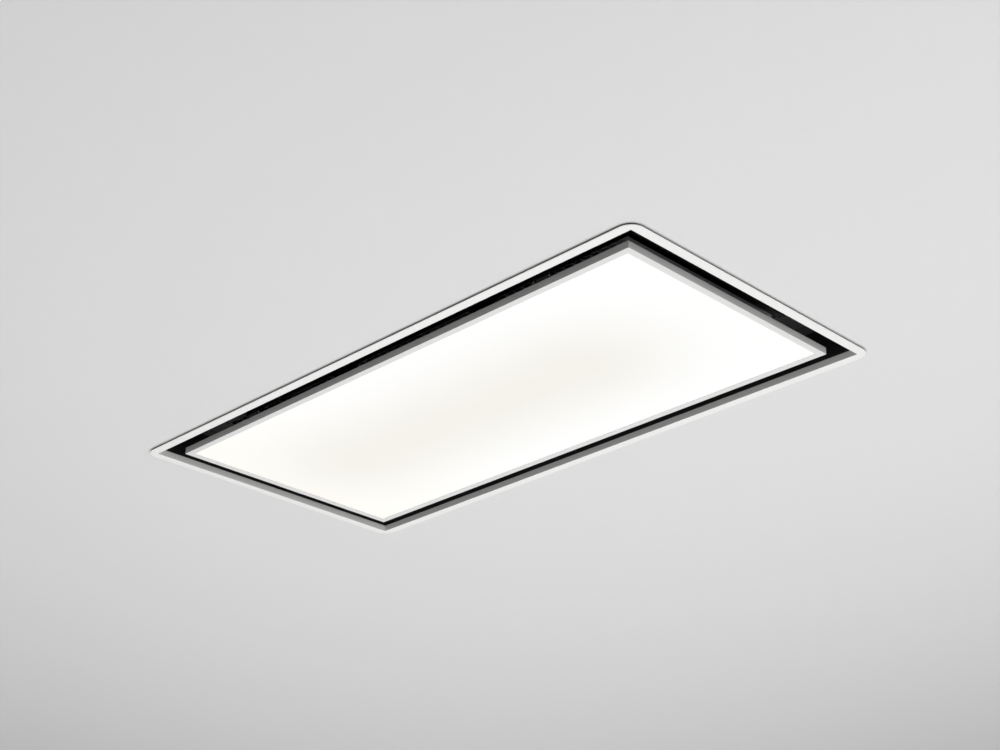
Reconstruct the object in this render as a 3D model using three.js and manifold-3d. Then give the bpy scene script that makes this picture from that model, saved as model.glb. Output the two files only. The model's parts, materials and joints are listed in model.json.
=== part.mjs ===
// Flush ceiling range hood, 1000 x 500 mm, with suction through a slot round an opening light panel.
// Millimetres, +Z up, +Y towards the side where the light panel is pulled down.
// The origin is the centre of the lower face, level with the lip and with the light panel's rim.
import * as THREE from 'three';
import { mergeVertices } from 'three/addons/utils/BufferGeometryUtils.js';
import Module from 'manifold-3d';

const wasm = await Module();
wasm.setup();

// ---- Driving sizes -------------------------------------------------------------------------------
const faceLength = 1000; // lip, outside, along X
const faceWidth = 500; // lip, outside, along Y
const overallHeight = 300; // lower face to the top of the motor box
const plenumHeight = 130; // lower face to the top of the lower housing
const seat = 0.3; // gap between two pieces that seat on each other
const over = 1; // how far a cutting solid runs past the one that it cuts
const drill = 20; // length of a round cut through a sheet

const lip = { width: 14.3, thickness: 1.5, cornerRadius: 21, webHeight: 10, sheet: 1.2 };
const gasket = { edgeInset: 1.5, thickness: 2, wallGap: 0.5 };
const housing = {
  sheet: 1, endFlange: 15, foldRise: 4, beadWidth: 22, beadHeight: 3, beadPitch: 46, beadInset: 55,
  beadGap: 50,
};
const channel = { slotWidth: 29.7, sheet: 1, flange: 18 };

const panel = { skirtHeight: 10.4, sheet: 1.2, rimWidth: 10.5, rimThickness: 0.9, topFlange: 12 };
const diffuser = { thickness: 2.5, sideGap: 0.6 };
const lightGuide = { thickness: 4, ledGap: 0.8 };
const ledStrip = { board: 1.6, height: 5.2, endGap: 14 };
const tray = {
  sheet: 1, edgeInset: 3, flange: 23, slope: 12, plateauTop: 22, groove: 3, grooveWidth: 30, grooves: 3,
};

const deck = { underside: 60.3, sheet: 1.2 };
const filter = {
  count: 3, length: 264, width: 330, thickness: 9, sheet: 1, border: 10, between: 26, sideGap: 1.5,
  pleatPitch: 15, meshSheet: 1.2, tabWidth: 20, tabReach: 8, tabOffset: 80, tabSheet: 1.2, rise: 1,
};
const latch = {
  width: 30, sheet: 1.4, length: 48, reach: 5.5, edgeGap: 1, boltRoot: 2, railSheet: 1, railLip: 3,
  railLength: 22, keeperDepth: 6.5, keeperWidth: 24, padLength: 26, padHeight: 3, padInset: 2, padTaper: 1,
  grooves: 5, grooveHalf: 0.8, grooveDepth: 1,
};

const hinge = {
  endInset: 156, edgeToAxis: 12, axisHeight: 22, pinRadius: 3, headMargin: 1.5, headLength: 2,
  runningGap: 0.3, barrelRadius: 5.5, leafHalf: 9, leafSheet: 2, leafBack: 6, leafFront: 11, webHalf: 2.5,
  cheek: 3, cheekGap: 0.5, cheekMargin: 1, armHeight: 38, armSheet: 2, footHalf: 20, footDrop: 16,
  footTopGap: 3,
};
const catchPlate = {
  endInset: 156, half: 15, depth: 20, edgeInset: 4, keeperSheet: 1.5, keeperMargin: 3, keeperInset: 1,
  keeperDepth: 20,
};

const blower = {
  x: 100, y: -45, impellerRadius: 100, bladeInnerRadius: 84, blades: 36, bladeSheet: 1.2, bladeSweep: 0.16,
  bladeSink: 0.5, bladeRimGap: 0.4, ringThickness: 3, ringInset: 2, plateThickness: 2.5, floorGap: 9.4,
  headGap: 17.1, bowlDepth: 55, bowlFloorGap: 12, bowlRimGap: 18, hubRadius: 11, hubDrop: 8,
  scrollStart: 110, scrollEnd: 190, scrollWall: 2, tongueAngle: Math.PI / 4, throatRadius: 80, bellWall: 2,
  bellHeight: 14, bellFlare: 6, bellRoot: 1, roofGap: 4,
};
const motor = {
  radius: 44, length: 76, edge: 5, shaftRadius: 4, shaftReach: 30, boreEndGap: 2, bossRadius: 14,
  bossHeight: 3, bandDepth: 2, bandFrom: 0.45, bandTo: 0.57, bandSlope: 0.02, openingRadius: 50,
  plateSheet: 2, plateRadius: 54, plateBore: 12, lobeRadius: 62, lobeMargin: 3, boltRadius: 3, bushes: 3,
  bushRadius: 9, bushHeight: 8, bushWaist: 2.5, bushBore: 2, bushRim: 0.3, bushSlope: 0.1,
};
const motorBox = {
  x: 100, half: 200, sheet: 1, flange: 12, roofGap: 25.8, beadInset: 45, beads: 3, beadPitch: 95,
};
const collar = {
  wall: 2, length: 50, flangeEdgeGap: 2.85, flangeWidth: 7, flangeSheet: 2, flangeCorner: 10, plateGap: 1,
  seatRing: 4, seatDepth: 1.5, seatInset: 16, beadRadius: 1.5, beadInset: 7.5,
};
const flap = {
  sheet: 1.5, rimGap: 1.5, barrelRadius: 3.6, spindleRadius: 2, spindleEndGap: 0.8, runningGap: 0.3,
  hubGap: 4.6, barrelEndGap: 11,
};

const controlBox = {
  x: -305, y: -10, halfX: 135, halfY: 90, height: 48, sheet: 1.2, lidDrop: 9, leadInset: 20, vents: 6,
  ventPitch: 9, ventLength: 44, ventWidth: 2.4, ventX: -80,
};
const board = {
  halfX: 70, halfY: 62, thickness: 1.6, standoff: 8, shiftX: 50, footRadius: 3, footInset: 6,
  relayX: 12, relayLength: 22, relayY: -20, relayWidth: 16, relayHeight: 9, relayPitch: 20, relays: 2,
  chokeX: 24, chokeY: 36, chokeRadius: 9, chokeHeight: 14, terminalX: 4, terminalWidth: 12, terminalY: -40,
  terminalLength: 70, terminalHeight: 6,
};
const driver = { halfX: 45, halfY: 75, height: 26, shiftX: -80, cornerRadius: 3 };
const gland = {
  y: 40, rise: 22, flangeRadius: 12, bodyRadius: 9, boreRadius: 4.5, reach: 22, collarLength: 5, tail: 6,
  tailInset: 0.4, barrel: 12, shoulder: 16, shoulderInset: 0.8, noseInset: 2.5,
};
const lead = {
  radius: 3, motorLeadRadius: 4, holeGap: 0.8, wallDistance: 15.5, hingeDistance: 50, motorLeadY: -30,
  motorLeadRise: 26, inside: 6, grip: 12, sag: 9, sagPoints: 13,
};
const socket = { halfX: 12, halfY: 12, height: 14, y: -153, footReach: 5, footSheet: 2, plugRise: 8 };
const hanger = {
  length: 45, width: 36, height: 45, sheet: 2.5, holeRadius: 4.5, ear: 34, holeShift: 2, inset: 6,
  gussetDepth: 14, gussetHeight: 22, gussetSink: 0.5, screwRadius: 2.6, screwInset: 12,
};

// ---- Places worked out from the sizes above -------------------------------------------------------
const innerX = faceLength / 2 - lip.width; // inside face of the lip's web
const innerY = faceWidth / 2 - lip.width;
const panelX = innerX - channel.slotWidth; // outside face of the light panel's skirt
const panelY = innerY - channel.slotWidth;
const housingX = innerX + lip.sheet + seat + housing.sheet; // outside face of the housing
const housingY = innerY + lip.sheet + seat + housing.sheet;
const roofZ = plenumHeight + seat; // what stands on the lower housing's roof
const scrollBaseZ = roofZ + seat;
const deckTop = deck.underside + deck.sheet;
const filterTop = deckTop + seat + filter.tabSheet + filter.rise;
const filterBottom = filterTop - filter.thickness;
const filterPitch = filter.length + filter.between;
const hingeX = panelX - hinge.endInset;
const hingeY = -panelY + hinge.edgeToAxis;
const catchX = panelX - catchPlate.endInset;
const leadX = -(hingeX - lead.hingeDistance);
const footTop = deck.underside - seat - channel.sheet - hinge.footTopGap; // top of the hinge and catch feet
const flangeTop = panel.skirtHeight + seat + tray.sheet; // upper face of the tray's flange
const collarY = blower.y + (blower.scrollEnd + blower.scrollStart * Math.sin(blower.tongueAngle)) / 2;
const collarZ = (roofZ + overallHeight) / 2;
const boxWallX = motorBox.x + motorBox.half; // outside of the motor box wall that carries the collar
const collarFlange = (overallHeight - roofZ) / 2 - collar.flangeEdgeGap; // half of the square flange
const collarRadius = collarFlange - collar.flangeWidth; // outside of the spigot
const barrelLength = (collarRadius - collar.wall - flap.barrelEndGap) / 2;
const plateTop = overallHeight - motorBox.sheet - motorBox.roofGap; // upper face of the motor plate
const scrollHeight = plateTop - motor.plateSheet - motor.bushHeight - 2 * seat - scrollBaseZ;
const bladeHeight = scrollHeight - blower.scrollWall - blower.headGap - blower.plateThickness
  - blower.ringThickness - blower.floorGap;

// ---- Solid helpers --------------------------------------------------------------------------------
function solid(geometry) {
  const bare = geometry.index ? geometry.toNonIndexed() : geometry.clone();
  bare.deleteAttribute('normal');
  bare.deleteAttribute('uv');
  const merged = mergeVertices(bare, 1e-4);
  const vertProperties = merged.attributes.position.array;
  const triVerts = new Uint32Array(merged.index.array);
  return new wasm.Manifold(new wasm.Mesh({ numProp: 3, vertProperties, triVerts }));
}

function geometryOf(body) {
  const made = body.getMesh();
  const geometry = new THREE.BufferGeometry();
  geometry.setAttribute('position', new THREE.BufferAttribute(new Float32Array(made.vertProperties), 3));
  geometry.setIndex(new THREE.BufferAttribute(new Uint32Array(made.triVerts), 1));
  const flat = geometry.toNonIndexed();
  flat.computeVertexNormals();
  return flat;
}

function block(x0, x1, y0, y1, z0, z1) {
  const box = new THREE.BoxGeometry(x1 - x0, y1 - y0, z1 - z0);
  return solid(box.translate((x0 + x1) / 2, (y0 + y1) / 2, (z0 + z1) / 2));
}

function rectangle(halfX, halfY, radius = 0) {
  const shape = new THREE.Shape();
  if (!radius) {
    shape.moveTo(-halfX, -halfY);
    shape.lineTo(halfX, -halfY);
    shape.lineTo(halfX, halfY);
    shape.lineTo(-halfX, halfY);
    shape.closePath();
    return shape;
  }
  const corners = [[1, -1, -0.5], [1, 1, 0], [-1, 1, 0.5], [-1, -1, 1]];
  for (const [sx, sy, turn] of corners) {
    const start = turn * Math.PI;
    shape.absarc(sx * (halfX - radius), sy * (halfY - radius), radius, start, start + Math.PI / 2, false);
  }
  shape.closePath();
  return shape;
}

function prism(shape, z0, z1, curveSegments = 6) {
  const options = { depth: z1 - z0, bevelEnabled: false, curveSegments };
  return solid(new THREE.ExtrudeGeometry(shape, options).translate(0, 0, z0));
}

// A rectangular ring between two outlines.
function frameRing(outerX, outerY, innerHalfX, innerHalfY, z0, z1, radius = 0) {
  const outer = prism(rectangle(outerX, outerY, radius), z0, z1);
  return outer.subtract(prism(rectangle(innerHalfX, innerHalfY), z0 - over, z1 + over));
}

// A four-sided frustum, as a pressed plateau or groove has.
function frustum(halfX0, halfY0, z0, halfX1, halfY1, z1) {
  const box = new THREE.BoxGeometry(2, 2, 2);
  const at = box.attributes.position;
  for (let i = 0; i < at.count; i += 1) {
    const high = at.getZ(i) > 0;
    const x = at.getX(i) * (high ? halfX1 : halfX0);
    const y = at.getY(i) * (high ? halfY1 : halfY0);
    at.setXYZ(i, x, y, high ? z1 : z0);
  }
  return solid(box);
}

function rod(radius, length, segments = 16) {
  return solid(new THREE.CylinderGeometry(radius, radius, length, segments).rotateX(Math.PI / 2));
}

function turned(points, segments = 32) {
  const profile = points.map(([r, z]) => new THREE.Vector2(r, z));
  return solid(new THREE.LatheGeometry(profile, segments).rotateX(Math.PI / 2));
}

function tube(points, radius, stepsPerPoint = 2) {
  const path = new THREE.CatmullRomCurve3(points.map((p) => new THREE.Vector3(...p)));
  const section = new THREE.Shape();
  section.absarc(0, 0, radius, 0, Math.PI * 2, false);
  const steps = stepsPerPoint * (points.length - 1);
  return solid(new THREE.ExtrudeGeometry(section, { steps, extrudePath: path, curveSegments: 4 }));
}

function join(...bodies) {
  return bodies.reduce((whole, body) => whole.add(body));
}

// ---- Finishes -------------------------------------------------------------------------------------
function finish(color, roughness, metalness, extra = {}) {
  return new THREE.MeshStandardMaterial({ color, roughness, metalness, ...extra });
}
const whitePaint = finish(0xf0f0ee, 0.5, 0);
const blackPaint = finish(0x101011, 0.55, 0);
const galvanised = finish(0xaeb4b8, 0.42, 0.9);
const zincPlate = finish(0xc2c6ca, 0.35, 0.9);
const aluminium = finish(0xc9ccd0, 0.38, 0.95);
const blackAluminium = finish(0x1d1e20, 0.42, 0.8);
const steel = finish(0x9a9ea3, 0.3, 0.95);
const greyPlastic = finish(0x55585c, 0.6, 0);
const blackPlastic = finish(0x1b1c1e, 0.5, 0);
const rubber = finish(0x161617, 0.85, 0);
const foam = finish(0x3a3b3d, 0.95, 0);
const opal = finish(0xfdfdf8, 0.6, 0, { emissive: 0xfffdf4, emissiveIntensity: 1 });
const acrylic = finish(0xe6eef0, 0.1, 0);
const boardGreen = finish(0x2a5c3a, 0.6, 0);
const boardWhite = finish(0xe9e9e2, 0.5, 0);
const magnetGrey = finish(0x3c3e42, 0.5, 0.6);

const hood = new THREE.Group();

function place(parent, name, body, material, x = 0, y = 0, z = 0) {
  const mesh = new THREE.Mesh(geometryOf(body), material);
  mesh.name = name;
  mesh.position.set(x, y, z);
  parent.add(mesh);
  return mesh;
}

// ---- Lip, gasket and lower housing ----------------------------------------------------------------
function ceilingFrame() {
  const halfX = faceLength / 2;
  const halfY = faceWidth / 2;
  const flat = frameRing(halfX, halfY, innerX, innerY, 0, lip.thickness, lip.cornerRadius);
  const web = frameRing(innerX + lip.sheet, innerY + lip.sheet, innerX, innerY, 0, lip.webHeight);
  return join(flat, web);
}

function ceilingGasket() {
  const z0 = lip.thickness + seat;
  const outerX = faceLength / 2 - gasket.edgeInset;
  const outerY = faceWidth / 2 - gasket.edgeInset;
  const radius = lip.cornerRadius - gasket.edgeInset;
  const holeX = housingX + gasket.wallGap;
  const holeY = housingY + gasket.wallGap;
  return frameRing(outerX, outerY, holeX, holeY, z0, z0 + gasket.thickness, radius);
}

// A stiffening bead pressed out of a flat sheet whose lower face is at z.
function bead(length, z, sheet) {
  const rise = housing.beadHeight;
  const reach = length / 2;
  const half = housing.beadWidth / 2;
  const top = half - rise;
  const raised = frustum(reach, half, z, reach - rise, top, z + rise + sheet);
  const hollow = frustum(reach - sheet, half - sheet, z - sheet, reach - rise, top - sheet / 2, z + rise);
  return { raised, hollow };
}

// A groove along X, pressed down into a flat sheet whose upper face is at top: what it adds and cuts.
function pressedGroove(reach, half, depth, top, sheet) {
  const floor = top - depth;
  const raised = frustum(reach, half - depth, floor - sheet, reach + sheet, half + sheet, top - sheet / 2);
  const hollow = frustum(reach - sheet, half - depth - sheet, floor, reach, half, top + sheet / 10);
  return { raised, hollow };
}

function housingWrap() {
  const z0 = lip.thickness + seat;
  const roofUnder = plenumHeight - housing.sheet;
  const wallY = housingY - housing.sheet;
  let wrap = block(-housingX, housingX, -housingY, housingY, z0, plenumHeight)
    .subtract(block(-housingX - over, housingX + over, -wallY, wallY, z0 - over, roofUnder));
  const beadLength = 2 * (housingY - housing.beadInset);
  for (const step of [0, 1]) {
    const { raised, hollow } = bead(beadLength, roofUnder, housing.sheet);
    const x = boxWallX + motorBox.flange + housing.beadGap + step * housing.beadPitch;
    wrap = wrap.add(raised.rotate([0, 0, 90]).translate([x, 0, 0]));
    wrap = wrap.subtract(hollow.rotate([0, 0, 90]).translate([x, 0, 0]));
  }
  const inlet = rod(blower.throatRadius + blower.roofGap, drill, 40)
    .translate([blower.x, blower.y, plenumHeight]);
  const leadHole = rod(lead.radius + lead.holeGap, drill).translate([leadX, leadTopY, plenumHeight]);
  return wrap.subtract(inlet).subtract(leadHole);
}

// Right-hand end panel: a plate whose top and upper side edges are folded inwards.
function housingEnd() {
  const z0 = lip.thickness + seat;
  const top = plenumHeight - housing.sheet - seat;
  const halfY = housingY - housing.sheet - seat;
  const foldFrom = deckTop + housing.foldRise;
  const depth = housing.endFlange;
  const plate = block(-housing.sheet, 0, -halfY, halfY, z0, top);
  const folds = block(-depth, 0, -halfY, halfY, foldFrom, top)
    .subtract(block(-depth - over, -housing.sheet, -halfY + housing.sheet, halfY - housing.sheet,
      foldFrom - over, top - housing.sheet));
  return join(plate, folds);
}

// Black skirt round the suction slot: a wall with an inward flange that carries the filter deck.
function channelSkirt(halfLength) {
  const z0 = lip.webHeight + seat;
  const z1 = deck.underside - seat;
  const wall = block(-halfLength, halfLength, 0, channel.sheet, z0, z1);
  const inner = halfLength - channel.flange;
  const flange = block(-inner, inner, -channel.flange, channel.sheet, z1 - channel.sheet, z1);
  return join(wall, flange);
}

function filterDeck() {
  let plate = block(-innerX, innerX, -innerY, innerY, deck.underside, deckTop);
  const halfX = filter.length / 2 + filter.sideGap;
  const halfY = filter.width / 2 + filter.sideGap;
  const ledgeTop = filterBottom - latch.sheet - 2 * seat;
  for (const x of filterPlaces()) {
    plate = plate.subtract(block(x - halfX, x + halfX, -halfY, halfY, deck.underside - over, deckTop + over));
    const drop = halfY + latch.keeperDepth;
    const hook = block(x - latch.keeperWidth / 2, x + latch.keeperWidth / 2, halfY, drop + deck.sheet,
      ledgeTop - deck.sheet, deckTop)
      .subtract(block(x - latch.width, x + latch.width, halfY - over, drop, ledgeTop, deck.underside));
    plate = plate.add(hook);
  }
  const leadHole = rod(lead.radius + lead.holeGap, drill).translate([leadX, leadDropY, deckTop]);
  return plate.subtract(leadHole);
}

// ---- Grease filters -------------------------------------------------------------------------------
function filterPlaces() {
  return Array.from({ length: filter.count }, (_, i) => (i - (filter.count - 1) / 2) * filterPitch);
}

function filterFrame() {
  const { length, width, thickness, sheet, border } = filter;
  const halfX = length / 2;
  const halfY = width / 2;
  const insideX = halfX - sheet;
  const insideY = halfY - sheet;
  const shell = block(-halfX, halfX, -halfY, halfY, 0, thickness);
  const groove = block(-insideX, insideX, -insideY, insideY, sheet, thickness - sheet);
  const window = block(-halfX + border, halfX - border, -halfY + border, halfY - border, -over,
    thickness + over);
  let body = shell.subtract(groove.add(window));
  const tabZ = deckTop + seat - filterBottom;
  for (const side of [-1, 1]) {
    const x = side * filter.tabOffset;
    const half = filter.tabWidth / 2;
    body = body.add(block(x - half, x + half, -halfY - filter.tabReach, -halfY + sheet, tabZ,
      tabZ + filter.tabSheet));
  }
  return join(body, latchRails(halfY));
}

// Two hooked rails under the front border that guide the latch slide.
function latchRails(halfY) {
  const inner = latch.width / 2 + seat;
  const outer = inner + latch.railSheet;
  const lipTop = -(latch.sheet + 2 * seat);
  const from = halfY - filter.border - latch.railLength;
  const slotPlate = block(-outer, outer, from, halfY - filter.border + over, 0, filter.sheet);
  const rail = (side) => {
    const near = side > 0 ? [inner, outer] : [-outer, -inner];
    const lipX = side > 0 ? [inner - latch.railLip, outer] : [-outer, -inner + latch.railLip];
    const web = block(near[0], near[1], from, halfY, lipTop - latch.railSheet, filter.sheet);
    return web.add(block(lipX[0], lipX[1], from, halfY, lipTop - latch.railSheet, lipTop));
  };
  return join(slotPlate, rail(1), rail(-1));
}

// The pleated mesh pack, held in the frame's groove.
function filterMesh() {
  const halfX = filter.length / 2 - filter.sheet - seat;
  const halfY = filter.width / 2 - filter.sheet - seat;
  const low = filter.sheet + seat;
  const high = filter.thickness - filter.sheet - seat;
  const folds = 2 * Math.round((2 * halfX) / filter.pleatPitch);
  const crest = high - low - filter.meshSheet;
  const shape = new THREE.Shape();
  const at = (i) => [-halfX + (2 * halfX * i) / folds, low + (i % 2 ? crest : 0)];
  shape.moveTo(...at(0));
  for (let i = 1; i <= folds; i += 1) shape.lineTo(...at(i));
  for (let i = folds; i >= 0; i -= 1) shape.lineTo(at(i)[0], at(i)[1] + filter.meshSheet);
  shape.closePath();
  return prism(shape, -halfY, halfY).rotate([90, 0, 0]);
}

// Sprung slide that holds the front edge of a filter up: a flat bolt with a grooved thumb pad.
function filterLatch() {
  const { sheet, padLength, padHeight, padTaper, grooveHalf } = latch;
  const half = latch.width / 2;
  const boltHalf = half - latch.railLip - latch.edgeGap;
  const backY = latch.reach - latch.length;
  const bolt = block(-boltHalf, boltHalf, -latch.boltRoot, latch.reach, -sheet, 0);
  const slide = block(-half, half, backY, -latch.edgeGap, -sheet, 0);
  const padHalf = half - latch.railLip - latch.padInset;
  const padFrom = backY + latch.padInset;
  const padReach = padLength / 2;
  const pad = frustum(padHalf - padTaper, padReach - padTaper, -padHeight, padHalf, padReach, sheet / 2)
    .translate([0, padFrom + padReach, -sheet]);
  let body = join(bolt, slide, pad);
  const pitch = padLength / (latch.grooves + 1);
  const padFace = -sheet - padHeight;
  for (let i = 1; i <= latch.grooves; i += 1) {
    const y = padFrom + i * pitch;
    body = body.subtract(block(-padHalf - over, padHalf + over, y - grooveHalf, y + grooveHalf,
      padFace - over, padFace + latch.grooveDepth));
  }
  return body;
}

// ---- Light panel ----------------------------------------------------------------------------------
function panelFrame() {
  const { skirtHeight, sheet, rimWidth, rimThickness, topFlange } = panel;
  const skirt = frameRing(panelX, panelY, panelX - sheet, panelY - sheet, 0, skirtHeight);
  const rim = frameRing(panelX, panelY, panelX - rimWidth, panelY - rimWidth, 0, rimThickness);
  const foldX = panelX - topFlange;
  const foldY = panelY - topFlange;
  const fold = frameRing(panelX, panelY, foldX, foldY, skirtHeight - sheet, skirtHeight);
  return join(skirt, rim, fold);
}

function panelDiffuser() {
  const inset = panel.sheet + diffuser.sideGap;
  const z0 = panel.rimThickness + seat;
  return block(-panelX + inset, panelX - inset, -panelY + inset, panelY - inset, z0, z0 + diffuser.thickness);
}

const guideZ = panel.rimThickness + diffuser.thickness + 2 * seat;
const ledOuterY = panelY - panel.sheet - diffuser.sideGap;

function lightGuidePlate() {
  const halfX = panelX - panel.sheet - diffuser.sideGap;
  const halfY = ledOuterY - ledStrip.board - lightGuide.ledGap;
  return block(-halfX, halfX, -halfY, halfY, guideZ, guideZ + lightGuide.thickness);
}

function ledBoard() {
  const halfX = panelX - ledStrip.endGap;
  return block(-halfX, halfX, -ledStrip.board, 0, guideZ, guideZ + ledStrip.height - 2 * seat);
}

// Pressed lid of the light panel: a flange on the frame and a raised plateau with three long grooves.
function panelBackTray() {
  const z0 = panel.skirtHeight + seat;
  const flatX = panelX - tray.edgeInset;
  const flatY = panelY - tray.edgeInset;
  const footX = flatX - tray.flange;
  const footY = flatY - tray.flange;
  const topX = footX - tray.slope;
  const topY = footY - tray.slope;
  const sheet = tray.sheet;
  const flange = block(-flatX, flatX, -flatY, flatY, z0, z0 + sheet);
  const raised = frustum(footX, footY, z0, topX, topY, tray.plateauTop);
  const hollow = frustum(footX - sheet, footY - sheet, z0 - over, topX - sheet, topY - sheet,
    tray.plateauTop - sheet);
  const reach = topX - tray.grooveWidth;
  const groove = pressedGroove(reach, tray.grooveWidth / 2, tray.groove, tray.plateauTop, sheet);
  let body = flange.add(raised).subtract(hollow);
  for (let i = 0; i < tray.grooves; i += 1) {
    const y = (i - (tray.grooves - 1) / 2) * (topY / 2);
    body = body.add(groove.raised.translate([0, y, 0])).subtract(groove.hollow.translate([0, y, 0]));
  }
  return body;
}

// ---- Panel hinges and catches ---------------------------------------------------------------------
function hingePin() {
  const grip = hinge.leafHalf + hinge.cheekGap + hinge.cheek + seat;
  const headX = grip + hinge.headLength / 2;
  const shank = rod(hinge.pinRadius, 2 * headX).rotate([0, 90, 0]);
  const head = rod(hinge.pinRadius + hinge.headMargin, hinge.headLength).rotate([0, 90, 0]);
  return join(shank, head.translate([headX, 0, 0]), head.translate([-headX, 0, 0]));
}

function hingeBore(length) {
  return rod(hinge.pinRadius + hinge.runningGap, length).rotate([0, 90, 0]);
}

function hingeLeaf() {
  const half = hinge.leafHalf;
  const footZ = flangeTop + seat - hinge.axisHeight;
  const foot = block(-half, half, -hinge.leafBack, hinge.leafFront, footZ, footZ + hinge.leafSheet);
  const web = block(-half, half, -hinge.webHalf, hinge.webHalf, footZ + hinge.leafSheet / 2, 0);
  const barrel = rod(hinge.barrelRadius, 2 * half).rotate([0, 90, 0]);
  return join(foot, web, barrel).subtract(hingeBore(4 * half));
}

function hingeBracket() {
  const near = hinge.leafHalf + hinge.cheekGap;
  const far = near + hinge.cheek;
  const armZ = hinge.armHeight - hinge.axisHeight;
  const wallY = -innerY + seat - hingeY;
  const cheekHalf = hinge.barrelRadius + hinge.cheekMargin;
  const cheek = (x) => join(
    rod(cheekHalf, hinge.cheek).rotate([0, 90, 0]).translate([x, 0, 0]),
    block(x - hinge.cheek / 2, x + hinge.cheek / 2, -cheekHalf, cheekHalf, 0, armZ + hinge.armSheet),
  );
  const arm = block(-far, far, wallY, cheekHalf, armZ, armZ + hinge.armSheet);
  const foot = block(-hinge.footHalf, hinge.footHalf, wallY, wallY + hinge.armSheet, armZ - hinge.footDrop,
    footTop - hinge.axisHeight);
  const middle = (near + far) / 2;
  return join(cheek(middle), cheek(-middle), arm, foot).subtract(hingeBore(4 * far));
}

function catchMagnet() {
  const { half, depth } = catchPlate;
  const wallY = innerY - seat;
  const potY = panelY - tray.edgeInset - catchPlate.edgeInset;
  const potZ = flangeTop + catchPlate.keeperSheet + 2 * seat;
  const pot = block(-half, half, potY - depth, potY, potZ, hinge.armHeight);
  const arm = block(-half, half, potY - depth, wallY, hinge.armHeight - hinge.armSheet, hinge.armHeight);
  const foot = block(-half, half, wallY - hinge.armSheet, wallY, hinge.armHeight - hinge.footDrop, footTop);
  return join(pot, arm, foot);
}

function catchKeeper() {
  const half = catchPlate.half + catchPlate.keeperMargin;
  const edgeY = panelY - tray.edgeInset - catchPlate.keeperInset;
  const z0 = flangeTop + seat;
  return block(-half, half, edgeY - catchPlate.keeperDepth, edgeY, z0, z0 + catchPlate.keeperSheet);
}

// ---- Blower ---------------------------------------------------------------------------------------
// Outline of the scroll round the impeller: a logarithmic spiral that opens into a straight mouth.
function scrollOutline(wall, mouthX) {
  const steps = 32;
  const sweep = 1.5 * Math.PI + blower.tongueAngle;
  const growth = Math.log(blower.scrollEnd / blower.scrollStart) / sweep;
  const shape = new THREE.Shape();
  for (let i = 0; i <= steps; i += 1) {
    const turn = (sweep * i) / steps;
    const radius = blower.scrollStart * Math.exp(growth * turn) + wall;
    const angle = blower.tongueAngle - turn;
    const point = [radius * Math.cos(angle), radius * Math.sin(angle)];
    if (i === 0) shape.moveTo(...point);
    else shape.lineTo(...point);
  }
  shape.lineTo(mouthX, blower.scrollEnd + wall);
  shape.lineTo(mouthX, blower.scrollStart * Math.sin(blower.tongueAngle) - wall);
  shape.closePath();
  return shape;
}

// From the scroll's base: the motor plate's underside and the motor's lower end.
const plateZ = scrollHeight + motor.bushHeight + 2 * seat;
const motorBottom = plateZ - seat - motor.length;
const mouthX = boxWallX - motorBox.sheet - seat - blower.x; // scroll mouth, from the impeller's axis
const coverZ = blower.scrollWall; // top of the inlet cover, from the scroll's base

function scrollHousing() {
  const { scrollWall } = blower;
  const outer = prism(scrollOutline(scrollWall, mouthX), coverZ + seat, scrollHeight);
  const inner = prism(scrollOutline(0, mouthX + over), coverZ - over, scrollHeight - scrollWall);
  const opening = rod(motor.openingRadius, drill, 36).translate([0, 0, scrollHeight]);
  return outer.subtract(inner).subtract(opening);
}

function inletCover() {
  const { scrollWall, throatRadius, bellWall, bellHeight, bellFlare: flare } = blower;
  const rootRadius = throatRadius + flare + blower.bellRoot;
  const plate = prism(scrollOutline(scrollWall, mouthX), 0, coverZ)
    .subtract(rod(throatRadius + flare, drill, 36));
  const bell = [];
  const arcSteps = 4;
  for (let i = 0; i <= arcSteps; i += 1) {
    const a = (Math.PI / 2) * (i / arcSteps);
    bell.push([throatRadius + flare * (1 - Math.sin(a)), flare * (1 - Math.cos(a))]);
  }
  bell.push([throatRadius, bellHeight], [throatRadius + bellWall, bellHeight]);
  bell.push([throatRadius + bellWall, flare], [rootRadius, coverZ], [rootRadius, 0]);
  bell.push(bell[0]);
  return join(plate, turned(bell.reverse(), 36));
}

// One forward-curved blade, as a thin curved outline seen along the axis.
function bladeOutline() {
  const steps = 3;
  const depth = blower.impellerRadius - blower.bladeRimGap - blower.bladeInnerRadius;
  const line = (side) => Array.from({ length: steps + 1 }, (_, i) => {
    const t = i / steps;
    const radius = blower.bladeInnerRadius + depth * t;
    const angle = -blower.bladeSweep * t * t + (side * blower.bladeSheet) / 2 / radius;
    return new THREE.Vector2(radius * Math.cos(angle), radius * Math.sin(angle));
  });
  return new THREE.Shape([...line(-1), ...line(1).reverse()]);
}

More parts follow.
